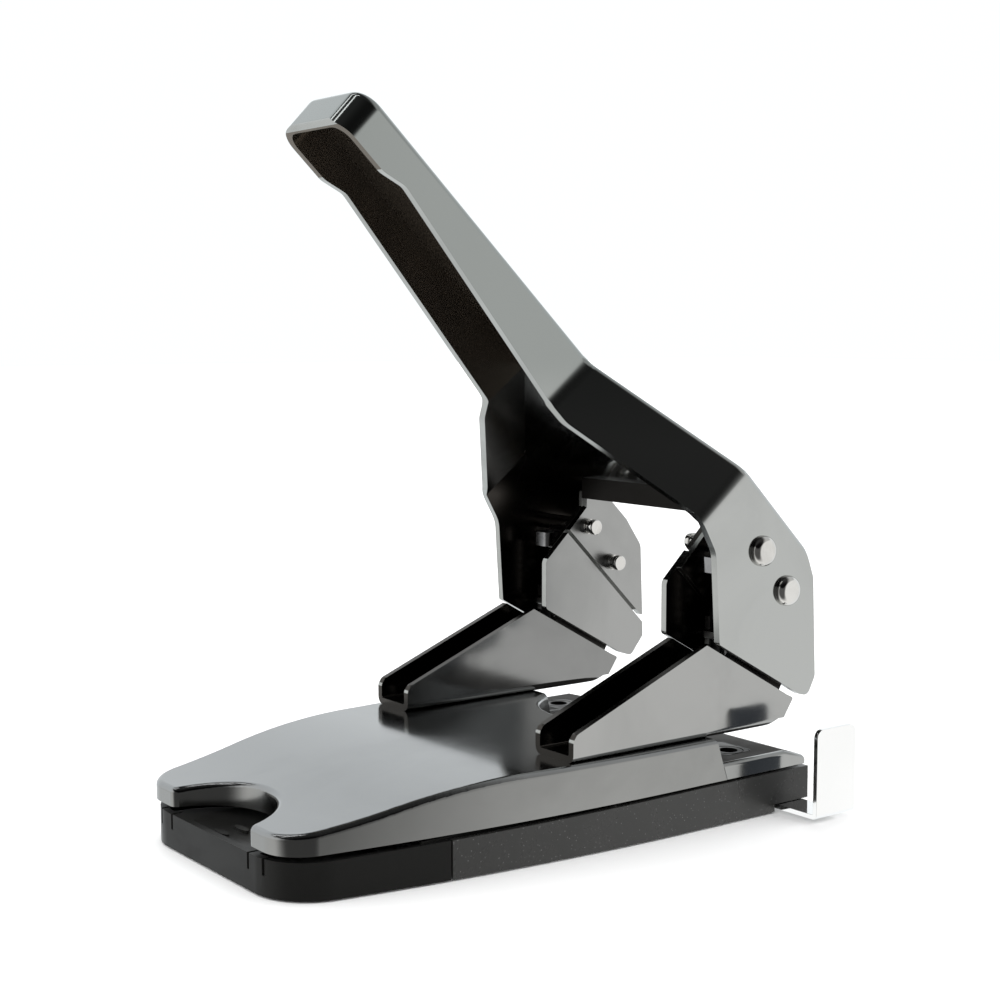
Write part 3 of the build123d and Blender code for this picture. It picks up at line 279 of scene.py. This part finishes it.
def makeTurned(name, look):
    # turned or ground metal: fine rings round the upright axis
    material, tree, shader = newMaterial(name, metallic=1.0)
    place = addNode(tree, "ShaderNodeTexCoord")
    rings = {"Scale": look["rings"], **turnedRings["wave"]}
    wave = addNode(tree, "ShaderNodeTexWave", rings, wave_type="BANDS", bands_direction="Z")
    join(tree, place, "Object", wave, "Vector")
    marks = addSmudges(tree, shader, turnedRings["smudgeScale"], look["roughness"])
    colour = addMix(tree, look["colour"], look["dulled"], marks, "mask")
    join(tree, colour, "Result", shader, "Base Color")
    addBump(tree, shader, wave, "Fac", turnedRings["strength"], turnedRings["depth"])
    return material


mouldedSkin = {
    "cellShare": 0.4,           # cells against fine pits
    "depth": 0.04,              # mm
    "smudgeScale": 40.0,
    "dustScale": 90.0,
    "dustColour": (0.35, 0.34, 0.33),
}


def makeMoulding(name, look):
    # black moulded plastic with a fine eroded skin and a film of dust
    material, tree, shader = newMaterial(name, specular=look["shine"])
    grained = {"fine": look["fine"], "share": mouldedSkin["cellShare"]}
    skin = addNode(tree, "ShaderNodeGroup", grained, node_tree=speckle)
    dusty = {"amount": look["dusty"], "scale": mouldedSkin["dustScale"]}
    film = addNode(tree, "ShaderNodeGroup", dusty, node_tree=dust)
    flecks = addMix(tree, look["colour"], look["flecks"], skin, "mask")
    dusted = addMix(tree, flecks.outputs["Result"], mouldedSkin["dustColour"], film, "mask")
    join(tree, dusted, "Result", shader, "Base Color")
    addSmudges(tree, shader, mouldedSkin["smudgeScale"], look["roughness"])
    addBump(tree, shader, skin, "height", look["bump"], mouldedSkin["depth"])
    return material


# colour and dulled: the metal as polished, and under the smudges; roughness: there likewise
steels = {
    "handleSheet": {"colour": (0.46, 0.47, 0.462), "dulled": (0.43, 0.44, 0.432),
                    "roughness": (0.1, 0.15), "turn": -0.76},
    "coverSheet": {"colour": (0.345, 0.352, 0.354), "dulled": (0.32, 0.327, 0.33),
                   "roughness": (0.12, 0.17), "scale": 18.0},
    "wedgeSheet": {"colour": (0.4, 0.402, 0.396), "dulled": (0.37, 0.372, 0.366),
                   "roughness": (0.1, 0.16)},
    "deckSheet": {"colour": (0.4, 0.405, 0.4), "dulled": (0.34, 0.345, 0.34),
                  "roughness": (0.08, 0.14)},
    # rougher satin steel for faces towards the middle, its colour also darkened as painted shade
    "plateSatinShade": {"colour": (0.4, 0.402, 0.398), "dulled": (0.37, 0.372, 0.368),
                   "roughness": (0.28, 0.34)},
    # painted shade: darker colour on the wedge faces towards the middle
    "paintedShadeWedgeInward": {"colour": (0.27, 0.272, 0.27), "dulled": (0.24, 0.242, 0.24),
                    "roughness": (0.12, 0.18)},
    # painted shade: darker colour on the cover's upright skirts
    "paintedShadeSkirt": {"colour": (0.32, 0.322, 0.316), "dulled": (0.29, 0.292, 0.286),
                   "roughness": (0.14, 0.2), "scale": 18.0},
    # painted shade: dark colour for the inner faces of folds below the grip
    "paintedDeepShade": {"colour": (0.07, 0.064, 0.058), "dulled": (0.04, 0.036, 0.032),
                   "roughness": (0.2, 0.3), "scale": 14.0},
    # painted shade: dark brownish colour for the inner faces of the grip's fold
    "shadedHollow": {"colour": (0.13, 0.11, 0.088), "dulled": (0.08, 0.068, 0.055),
               "roughness": (0.16, 0.26), "scale": 14.0, "metal": 0.88},
    # painted shade: near-black colour for the front face of the web's lip
    "paintedShadeLip": {"colour": (0.012, 0.011, 0.01), "dulled": (0.01, 0.009, 0.008),
                 "roughness": (0.3, 0.4)},
    "cutEdge": {"colour": (0.44, 0.445, 0.43), "dulled": (0.36, 0.365, 0.35),
                "roughness": (0.14, 0.24), "grain": 0.2},
    "rivetChrome": {"colour": (0.72, 0.71, 0.69), "dulled": (0.6, 0.59, 0.57),
                    "roughness": (0.06, 0.12), "scale": 90.0, "grain": 0.05},
    "guideChrome": {"colour": (0.99, 0.99, 0.99), "dulled": (0.97, 0.97, 0.97),
                    "roughness": (0.05, 0.1), "grain": 0.05},
    # painted shade: dark colour on the guide's left side
    "paintedShadeGuideSide": {"colour": (0.09, 0.095, 0.105), "dulled": (0.07, 0.075, 0.085),
                   "roughness": (0.12, 0.2)},
    "bracketSteel": {"colour": (0.09, 0.088, 0.085), "dulled": (0.05, 0.049, 0.047),
                     "roughness": (0.25, 0.4), "grain": 0.3},
    "screwSteel": {"colour": (0.3, 0.3, 0.3), "dulled": (0.22, 0.22, 0.22),
                   "roughness": (0.2, 0.35), "scale": 90.0},
    "springSteel": {"colour": (0.32, 0.31, 0.3), "dulled": (0.22, 0.21, 0.2),
                    "roughness": (0.2, 0.34), "scale": 120.0},
}
turnedMetals = {
    "punchSteel": {"colour": (0.3, 0.3, 0.305), "dulled": (0.2, 0.2, 0.205),
                   "roughness": (0.16, 0.34), "rings": 900.0},
    "dieSteel": {"colour": (0.06, 0.057, 0.054), "dulled": (0.04, 0.038, 0.036),
                 "roughness": (0.32, 0.5), "rings": 700.0},
    "bushBrass": {"colour": (0.3, 0.2, 0.09), "dulled": (0.2, 0.13, 0.05),
                  "roughness": (0.22, 0.4), "rings": 600.0},
}
mouldings = {
    "deckTop": {"colour": (0.024, 0.022, 0.02), "flecks": (0.04, 0.038, 0.036),
                "roughness": (0.49, 0.63), "fine": 2600.0, "bump": 0.05,
                "dusty": 0.01, "shine": 0.12},
    "trayMoulding": {"colour": (0.009, 0.009, 0.0085), "flecks": (0.014, 0.014, 0.014),
                     "roughness": (0.28, 0.42), "fine": 2600.0, "bump": 0.03,
                     "dusty": 0.006, "shine": 0.12},
    "baseMoulding": {"colour": (0.02, 0.02, 0.019), "flecks": (0.16, 0.16, 0.16),
                     "roughness": (0.24, 0.38), "fine": 900.0, "bump": 0.03,
                     "dusty": 0.012, "shine": 0.5},
    "footRubber": {"colour": (0.012, 0.012, 0.012), "flecks": (0.03, 0.03, 0.03),
                   "roughness": (0.64, 0.78), "fine": 900.0, "bump": 0.5,
                   "dusty": 0.08, "shine": 0.4},
}
finish = {}
for looks, make in ((steels, makeSteel), (turnedMetals, makeTurned), (mouldings, makeMoulding)):
    for name, look in looks.items():
        finish[name] = make(name, look)

# painted shade: the lever's colour is darkened from 105 mm up, so the grip is a little darker
# than the towers
gripPaintedShade = {
    "from": 105.0,          # mm above the floor, where it starts
    "to": 135.0,
    "colour": (0.31, 0.328, 0.32),
}


# blends the painted shade into the grip part of the lever's colour
def paintGripShade(material):
    tree = material.node_tree
    shader = tree.nodes["Principled BSDF"]
    lower = shader.inputs["Base Color"].links[0].from_socket
    place = addNode(tree, "ShaderNodeTexCoord")
    parts = addNode(tree, "ShaderNodeSeparateXYZ")
    join(tree, place, "Object", parts, "Vector")
    share = addFade(tree, parts, "Z", gripPaintedShade["from"] * mm, gripPaintedShade["to"] * mm)
    blend = addMix(tree, lower, gripPaintedShade["colour"], share, "Result")
    join(tree, blend, "Result", shader, "Base Color")


paintGripShade(finish["handleSheet"])
print("materials ready:", len(finish))


# middle lines of the spaces that each folded piece goes round: start and end, in mm
hollowLines = {
    "handle": [((0, -117, 184), (0, -36, 123)), ((0, -36, 123), (0, -8, 88)),
               ((-40, -14, 92), (-40, 14, 45)), ((40, -14, 92), (40, 14, 45))],
    "left": [((-40, -90, 45), (-40, 40, 45))],
    "right": [((40, -90, 45), (40, 40, 45))],
}


def nearestOn(lines, point):
    best = None
    for first, last in lines:
        start, run = Vector(first) * mm, (Vector(last) - Vector(first)) * mm
        share = min(1.0, max(0.0, (point - start).dot(run) / run.length_squared))
        foot = start + run * share
        if best is None or (point - foot).length < (point - best).length:
            best = foot
    return best


rounding = {
    "weld": 0.002,          # mm between points that are one
    "flat": 0.3,            # degrees between faces that are one
    "sharp": 28.0,          # degrees from which an edge is rounded
    "segments": 2,
    "flatWeight": 100,      # how far large faces keep their own shading
}


def roundedCopy(nodeName, name, width):
    # a welded copy of a frame piece, its sharp edges rounded off
    mesh = nodes[nodeName].data.copy()
    shape = bmesh.new()
    shape.from_mesh(mesh)
    bmesh.ops.remove_doubles(shape, verts=shape.verts, dist=rounding["weld"] * mm)
    bmesh.ops.dissolve_limit(shape, angle_limit=math.radians(rounding["flat"]),
                             verts=shape.verts, edges=shape.edges)
    for face in shape.faces:
        face.smooth = True
    shape.to_mesh(mesh)
    shape.free()
    mesh.name = name
    piece = bpy.data.objects.new(name, mesh)
    bpy.context.scene.collection.objects.link(piece)
    bevel = piece.modifiers.new("rounding", "BEVEL")
    bevel.width = width * mm
    bevel.segments = rounding["segments"]
    bevel.limit_method = "ANGLE"
    bevel.angle_limit = math.radians(rounding["sharp"])
    bevel.miter_outer = "MITER_ARC"
    bevel.material = 1                  # the finish of cut edges
    flat = piece.modifiers.new("flatFaces", "WEIGHTED_NORMAL")
    flat.mode = "FACE_AREA"
    flat.weight = rounding["flatWeight"]
    return piece


# how the faces of a folded sheet are told apart; lengths in mm, the others are parts of a normal
sheetSense = {
    "edgeLean": 0.02,       # a cut edge turns no further to the side
    "edgeRise": 0.55,       # or up
    "edgeSlack": 0.2,       # over the thickness of the sheet
    "webHalf": 5.0,         # half the width of the middle strip that tells the web
    "webFront": -30.0,
    "webDown": -0.5,
    "lipForward": -0.95,
    "inward": 0.95,         # plates and flanges that face the middle plane
    "inwardFrom": 20.0,     # and lie between these distances from it
    "inwardTo": 32.0,
    "inwardFront": -70.0,
    "gripHeight": 115.0,    # above it the hollow side is the grip's
}
sheetParts = ("outside", "cutEdge", "shadedHollow", "lip", "inward", "paintedDeepShade")


def tellPart(mesh, polygon, sheet, lines, webHeight):
    normal, centre = polygon.normal, polygon.center
    corners = [mesh.vertices[index].co for index in polygon.vertices]
    longest = max((a - b).length for a, b in zip(corners, corners[1:] + corners[:1]))
    aside = abs(centre.x) / mm
    if webHeight is not None and aside < sheetSense["webHalf"] and centre.z > webHeight * mm:
        if centre.y > sheetSense["webFront"] * mm:
            if normal.y < sheetSense["lipForward"]:
                return "lip"
            if normal.z < sheetSense["webDown"]:
                return "outside"
    if normal.x * centre.x < 0 and abs(normal.x) > sheetSense["inward"]:
        isNear = sheetSense["inwardFrom"] < aside < sheetSense["inwardTo"]
        if isNear and centre.y > sheetSense["inwardFront"] * mm:
            return "inward"
    isUpright = abs(normal.x) < sheetSense["edgeLean"] and normal.z < sheetSense["edgeRise"]
    if isUpright and polygon.area / longest < (sheet + sheetSense["edgeSlack"]) * mm:
        return "cutEdge"
    if (centre - nearestOn(lines, centre)).dot(normal) >= 0:
        return "outside"
    # inner faces take painted shade, lighter on the grip than lower down
    return "shadedHollow" if centre.z > sheetSense["gripHeight"] * mm else "paintedDeepShade"


def freeze(piece):
    # bakes the modifiers into a plain mesh
    graph = bpy.context.evaluated_depsgraph_get()
    made = bpy.data.meshes.new_from_object(piece.evaluated_get(graph))
    piece.modifiers.clear()
    piece.data = made


dressed = {
    # node: (new name, rounding in mm, face, cut edge, slot)
    "handle": ("leverSheet", 0.35, "handleSheet", "cutEdge", "handle_steel"),
    "inner_bracket_left": ("innerPlateLeft", 0.25, "handleSheet", "cutEdge", "handle_steel"),
    "inner_bracket_right": ("innerPlateRight", 0.25, "handleSheet", "cutEdge", "handle_steel"),
    "wedge_frame_left": ("wedgeLeft", 0.3, "wedgeSheet", "cutEdge", "polished_steel"),
    "wedge_frame_right": ("wedgeRight", 0.3, "wedgeSheet", "cutEdge", "polished_steel"),
    "cover_plate": ("coverShell", 0.25, "coverSheet", "cutEdge", "polished_steel"),
    "die_plate": ("deckPlate", 0.2, "deckSheet", "deckSheet", "polished_steel"),
    "die_insert_left": ("dieLeft", 0.15, "dieSteel", "dieSteel", "hardened_steel"),
    "die_insert_right": ("dieRight", 0.15, "dieSteel", "dieSteel", "hardened_steel"),
    "punch_bracket_left": ("bracketLeft", 0.2, "bracketSteel", "bracketSteel", "bracket_steel"),
    "punch_bracket_right": ("bracketRight", 0.2, "bracketSteel", "bracketSteel", "bracket_steel"),
    "guide_plate_left": ("guidePlateLeft", 0.2, "bracketSteel", "cutEdge", "bracket_steel"),
    "guide_plate_right": ("guidePlateRight", 0.2, "bracketSteel", "cutEdge", "bracket_steel"),
    "base_frame": ("baseMould", 0.4, "baseMoulding", "baseMoulding", "black_moulding"),
    "chip_tray": ("trayMould", 0.45, "trayMoulding", "trayMoulding", "black_moulding"),
    "paper_guide": ("guideStrip", 0.25, "guideChrome", "guideChrome", "bright_steel"),
    "pivot_pin_left": ("pivotPinLeft", 0.12, "rivetChrome", "rivetChrome", "bright_steel"),
    "pivot_pin_right": ("pivotPinRight", 0.12, "rivetChrome", "rivetChrome", "bright_steel"),
    "drive_pin_left": ("drivePinLeft", 0.12, "rivetChrome", "rivetChrome", "bright_steel"),
    "drive_pin_right": ("drivePinRight", 0.12, "rivetChrome", "rivetChrome", "bright_steel"),
    "frame_screws": ("frameScrews", 0.15, "screwSteel", "screwSteel", "fastener_steel"),
    "frame_nuts": ("frameNuts", 0.2, "screwSteel", "screwSteel", "fastener_steel"),
    "rear_foot": ("rearFoot", 0.25, "footRubber", "footRubber", "foot_rubber"),
    "front_feet": ("frontFeet", 0.25, "footRubber", "footRubber", "foot_rubber"),
}
folded = {
    # node: (sheet thickness in mm, which hollow, finish towards the middle with painted shade,
    # height of the web)
    "handle": (2.2, "handle", "plateSatinShade", 80.0),
    "inner_bracket_left": (2.2, "left", "plateSatinShade", None),
    "inner_bracket_right": (2.2, "right", "plateSatinShade", None),
    "wedge_frame_left": (2.0, "left", "paintedShadeWedgeInward", None),
    "wedge_frame_right": (2.0, "right", "paintedShadeWedgeInward", None),
}
otherFaces = {
    "deckRise": 0.94,       # upward part of the normal, and mm2, of the deck's blackened faces
    "deckArea": 20.0,
    "guideLeft": -0.9,      # sideways part of the normal where paper touches the guide; that side is darkened as painted shade
    "skirtRise": 0.3,       # upward part of the normal on the cover's skirts, darkened as painted shade
}


def isDeckTop(face):
    isLarge = face.area > otherFaces["deckArea"] * mm * mm
    return isLarge and face.normal.z > otherFaces["deckRise"]


def isGuideShadedSide(face):
    return face.normal.x < otherFaces["guideLeft"]


def isSkirt(face):
    return abs(face.normal.z) < otherFaces["skirtRise"]


partlyOther = {
    # node: (finish, the faces that have it)
    "die_plate": ("deckTop", isDeckTop),
    # painted shade on the guide's left side
    "paper_guide": ("paintedShadeGuideSide", isGuideShadedSide),
    # painted shade on the cover's skirts
    "cover_plate": ("paintedShadeSkirt", isSkirt),
}


def giveFinishes(mesh, *names):
    mesh.materials.clear()
    for name in names:
        mesh.materials.append(finish[name])


for nodeName, (name, width, face, edge, slotName) in dressed.items():
    body = nodes[nodeName]["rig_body"]
    piece = roundedCopy(nodeName, name, width)
    mesh = piece.data
    for polygon in mesh.polygons:
        polygon.material_index = 0
    if nodeName in folded:
        sheet, shadedHollow, inward, webHeight = folded[nodeName]
        giveFinishes(mesh, face, edge, "shadedHollow", "paintedShadeLip", inward, "paintedDeepShade")
        # inner faces, the lip and the faces towards the middle get painted shade colours
        for polygon in mesh.polygons:
            part = tellPart(mesh, polygon, sheet, hollowLines[shadedHollow], webHeight)
            polygon.material_index = sheetParts.index(part)
    elif nodeName in partlyOther:
        other, hasOther = partlyOther[nodeName]
        giveFinishes(mesh, face, edge, other)
        for polygon in mesh.polygons:
            polygon.material_index = 2 if hasOther(polygon) else 0
    else:
        giveFinishes(mesh, face, edge)
    freeze(piece)
    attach(piece, body)
    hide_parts(nodeName)
print("rounded pieces:", len(dressed))

kept = {
    # node: finish
    "spacer_sleeves": "screwSteel",
    "base_screws": "screwSteel",
    "guide_bush_left": "bushBrass",
    "guide_bush_right": "bushBrass",
    "pivot_bush_left": "bushBrass",
    "pivot_bush_right": "bushBrass",
    "pivot_spacer_left": "bushBrass",
    "pivot_spacer_right": "bushBrass",
    "punch_left": "punchSteel",
    "punch_right": "punchSteel",
}
for nodeName, face in kept.items():
    giveFinishes(nodes[nodeName].data, face)
print("kept pieces:", len(kept))

# return springs
spring = {
    "wire": 0.9,            # mm
    "turns": 6.0,
    "steps": 40,            # points in a turn
    "sides": 10,
}
springInputs = {
    "meanRadius": "NodeSocketFloat",
    "length": "NodeSocketFloat",
    "turns": "NodeSocketFloat",
    "wireRadius": "NodeSocketFloat",
    "steps": "NodeSocketInt",
    "sides": "NodeSocketInt",
    "finish": "NodeSocketMaterial",
}


def makeSpringTree():
    # a wire swept along a helix
    tree = bpy.data.node_groups.new("springCoil", "GeometryNodeTree")
    for label, kind in springInputs.items():
        tree.interface.new_socket(label, in_out="INPUT", socket_type=kind)
    tree.interface.new_socket("coil", in_out="OUTPUT", socket_type="NodeSocketGeometry")
    start = addNode(tree, "NodeGroupInput")
    end = addNode(tree, "NodeGroupOutput")
    helix = addNode(tree, "GeometryNodeCurveSpiral")
    join(tree, start, "steps", helix, "Resolution")
    join(tree, start, "turns", helix, "Rotations")
    join(tree, start, "meanRadius", helix, "Start Radius")
    join(tree, start, "meanRadius", helix, "End Radius")
    join(tree, start, "length", helix, "Height")
    wire = addNode(tree, "GeometryNodeCurvePrimitiveCircle")
    join(tree, start, "sides", wire, "Resolution")
    join(tree, start, "wireRadius", wire, "Radius")
    sweep = addNode(tree, "GeometryNodeCurveToMesh", {"Fill Caps": True})
    join(tree, helix, "Curve", sweep, "Curve")
    join(tree, wire, "Curve", sweep, "Profile Curve")
    smooth = addNode(tree, "GeometryNodeSetShadeSmooth")
    join(tree, sweep, "Mesh", smooth, "Geometry")
    real = addNode(tree, "GeometryNodeRealizeInstances")
    join(tree, smooth, "Geometry", real, "Geometry")
    paint = addNode(tree, "GeometryNodeSetMaterial")
    join(tree, real, "Geometry", paint, "Geometry")
    join(tree, start, "finish", paint, "Material")
    join(tree, paint, "Geometry", end, "coil")
    return tree


springTree = makeSpringTree()
identifiers = {item.name: item.identifier for item in springTree.interface.items_tree
               if item.in_out == "INPUT"}
for side in ("left", "right"):
    low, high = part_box(f"punch_spring_{side}")
    wireRadius = spring["wire"] * mm / 2
    values = {
        "meanRadius": (high.x - low.x) / 2 - wireRadius,
        "length": high.z - low.z - 2 * wireRadius,
        "turns": spring["turns"],
        "wireRadius": wireRadius,
        "steps": spring["steps"],
        "sides": spring["sides"],
        "finish": finish["springSteel"],
    }
    name = f"returnSpring_{side}"
    coil = bpy.data.objects.new(name, bpy.data.meshes.new(name))
    bpy.context.scene.collection.objects.link(coil)
    modifier = coil.modifiers.new("coil", "NODES")
    modifier.node_group = springTree
    for label, value in values.items():
        modifier[identifiers[label]] = value
    freeze(coil)
    middle = (low + high) / 2
    for vertex in coil.data.vertices:
        vertex.co += Vector((middle.x, middle.y, low.z + wireRadius))
    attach(coil, f"cutter_{side}")
    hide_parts(f"punch_spring_{side}")
    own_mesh(coil)
print("springs ready")

paperFloor = {
    "half": 6.0,            # metres
    "colour": (0.95, 0.95, 0.95),
    "mottled": (0.93575, 0.93575, 0.93575),
    "mottleScale": 3.0,
    "roughness": 0.6,
    "shine": 0.3,
}


def makeFloor():
    mesh = bpy.data.meshes.new("floor")
    half = paperFloor["half"]
    corners = [(-half, -half, 0), (half, -half, 0), (half, half, 0), (-half, half, 0)]
    mesh.from_pydata(corners, [], [(0, 1, 2, 3)])
    floor = bpy.data.objects.new("floor", mesh)
    bpy.context.scene.collection.objects.link(floor)
    material, tree, shader = newMaterial("floorPaper", specular=paperFloor["shine"])
    place = addNode(tree, "ShaderNodeTexCoord")
    cloud = addNode(tree, "ShaderNodeTexNoise", {"Scale": paperFloor["mottleScale"]})
    join(tree, place, "Object", cloud, "Vector")
    colour = addMix(tree, paperFloor["colour"], paperFloor["mottled"], cloud, "Fac")
    join(tree, colour, "Result", shader, "Base Color")
    shader.inputs["Roughness"].default_value = paperFloor["roughness"]
    mesh.materials.append(material)
    floor.visible_glossy = False        # the steel mirrors the surroundings instead


# brightness of what the steel mirrors, by direction
studio = {
    "backdrop": 1.05,           # what the camera sees behind the floor
    "horizon": 1.0,             # level and below
    "ceiling": 0.04,            # overhead
    "rearCeiling": 0.6,         # overhead on the paper side
    "rearFrom": 0.2,            # rear part of the direction where that side starts
    "rearTo": 0.6,
    "upward": (0.3, 0.0, 1.0),  # the dark ceiling reaches lower on the right
    "fadeFrom": 0.42,           # height along upward where the ceiling starts
    "fadeTo": 0.58,
    "darkSide": (0.8, -0.6, 0.0),       # where the studio is left unlit
    "darkSideLevel": 0.1,
    "darkFrom": 0.3,            # cosine of the angle from it
    "darkTo": 0.8,
    "warm": (1.0, 1.0, 0.985),  # tint on the dark side, and away from it
    "cool": (0.95, 0.985, 1.0),
    "coolTo": -0.6,             # cosine of the angle from the dark side
    "warmFrom": 0.2,
}


def makeSurroundings():
    world = bpy.data.worlds.new("surroundings")
    bpy.context.scene.world = world
    world.use_nodes = True
    tree = world.node_tree
    tree.nodes.clear()
    place = addNode(tree, "ShaderNodeTexCoord")
    parts = addNode(tree, "ShaderNodeSeparateXYZ")
    join(tree, place, "Generated", parts, "Vector")
    dots = []
    for direction in (studio["upward"], studio["darkSide"]):
        dot = addNode(tree, "ShaderNodeVectorMath", {1: direction}, operation="DOT_PRODUCT")
        join(tree, place, "Generated", dot, 0)
        dots.append(dot)
    height, facing = dots
    roof = addFade(tree, parts, "Y", studio["rearFrom"], studio["rearTo"],
                   studio["ceiling"], studio["rearCeiling"])
    sky = addFade(tree, height, "Value", studio["fadeFrom"], studio["fadeTo"], studio["horizon"])
    join(tree, roof, "Result", sky, "To Max")
    dark = addFade(tree, facing, "Value", studio["darkFrom"], studio["darkTo"],
                   1.0, studio["darkSideLevel"])
    shaded = addProduct(tree, sky, "Result", dark, "Result")
    reach = {"From Min": studio["coolTo"], "From Max": studio["warmFrom"]}
    turn = addNode(tree, "ShaderNodeMapRange", reach)
    join(tree, facing, "Value", turn, "Value")
    tint = addMix(tree, studio["cool"], studio["warm"], turn, "Result")
    seen = addNode(tree, "ShaderNodeLightPath")
    level = addNode(tree, "ShaderNodeMix", {"B": studio["backdrop"]}, data_type="FLOAT")
    join(tree, seen, "Is Camera Ray", level, "Factor")
    join(tree, shaded, "Value", level, "A")
    glow = addNode(tree, "ShaderNodeBackground")
    join(tree, tint, "Result", glow, "Color")
    join(tree, level, "Result", glow, "Strength")
    output = addNode(tree, "ShaderNodeOutputWorld")
    join(tree, glow, "Background", output, "Surface")


# two strip lamps that draw the white stripes on the lever's tip
strips = {
    "toward": {"stripNear": (-0.25, -0.33, 0.91), "stripFar": (-0.56, -0.21, 0.8)},
    "width": {"stripNear": 0.12, "stripFar": 0.11},     # metres
    "watts": {"stripNear": 0.85, "stripFar": 0.75},
    "length": 0.9,
    "along": (-0.24, -0.88, -0.4),
    "distance": 1.3,            # from the tip
    "tipSide": 0.01,            # metres right of the middle
}
softSun = {"angle": 170.0, "strength": 4.4}     # degrees; falls straight down, no reflection


def makeLamps():
    low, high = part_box("handle")
    tip = Vector((strips["tipSide"], low.y, high.z))
    for name, toward in strips["toward"].items():
        data = bpy.data.lights.new(name, "AREA")
        data.shape = "RECTANGLE"
        data.size = strips["width"][name]
        data.size_y = strips["length"]
        data.energy = strips["watts"][name]
        lamp = bpy.data.objects.new(name, data)
        bpy.context.scene.collection.objects.link(lamp)
        back = Vector(toward).normalized()
        side = Vector(strips["along"]).cross(back).normalized()
        lamp.location = tip + back * strips["distance"]
        lamp.rotation_mode = "QUATERNION"
        turned = Matrix((side, back.cross(side), back)).transposed()
        lamp.rotation_quaternion = turned.to_quaternion()
        lamp.visible_diffuse = False
        lamp.visible_camera = False
    data = bpy.data.lights.new("softSun", "SUN")
    data.angle = math.radians(softSun["angle"])
    data.energy = softSun["strength"]
    lamp = bpy.data.objects.new("softSun", data)
    bpy.context.scene.collection.objects.link(lamp)
    lamp.visible_glossy = False


shot = {
    "place": (397.8, -352.0, 141.5),    # mm
    "azimuth": 53.19,                   # degrees
    "height": 5.65,
    "lens": 61.7,                       # mm
    "sensor": 36.0,                     # mm wide
    "near": 0.02,                       # metres
    "far": 50.0,
}


def makeCamera():
    data = bpy.data.cameras.new("shot")
    data.lens = shot["lens"]
    data.sensor_width = shot["sensor"]
    data.clip_start = shot["near"]
    data.clip_end = shot["far"]
    camera = bpy.data.objects.new("shot", data)
    bpy.context.scene.collection.objects.link(camera)
    azimuth, height = math.radians(shot["azimuth"]), math.radians(shot["height"])
    level = math.cos(height)
    away = Vector((math.sin(azimuth) * level, -math.cos(azimuth) * level, math.sin(height)))
    camera.location = Vector(shot["place"]) * mm
    camera.rotation_mode = "QUATERNION"
    camera.rotation_quaternion = (-away).to_track_quat("-Z", "Y")
    bpy.context.scene.camera = camera
    bpy.context.scene.view_settings.view_transform = "Standard"


makeFloor()
makeSurroundings()
makeLamps()
makeCamera()
print("studio ready")
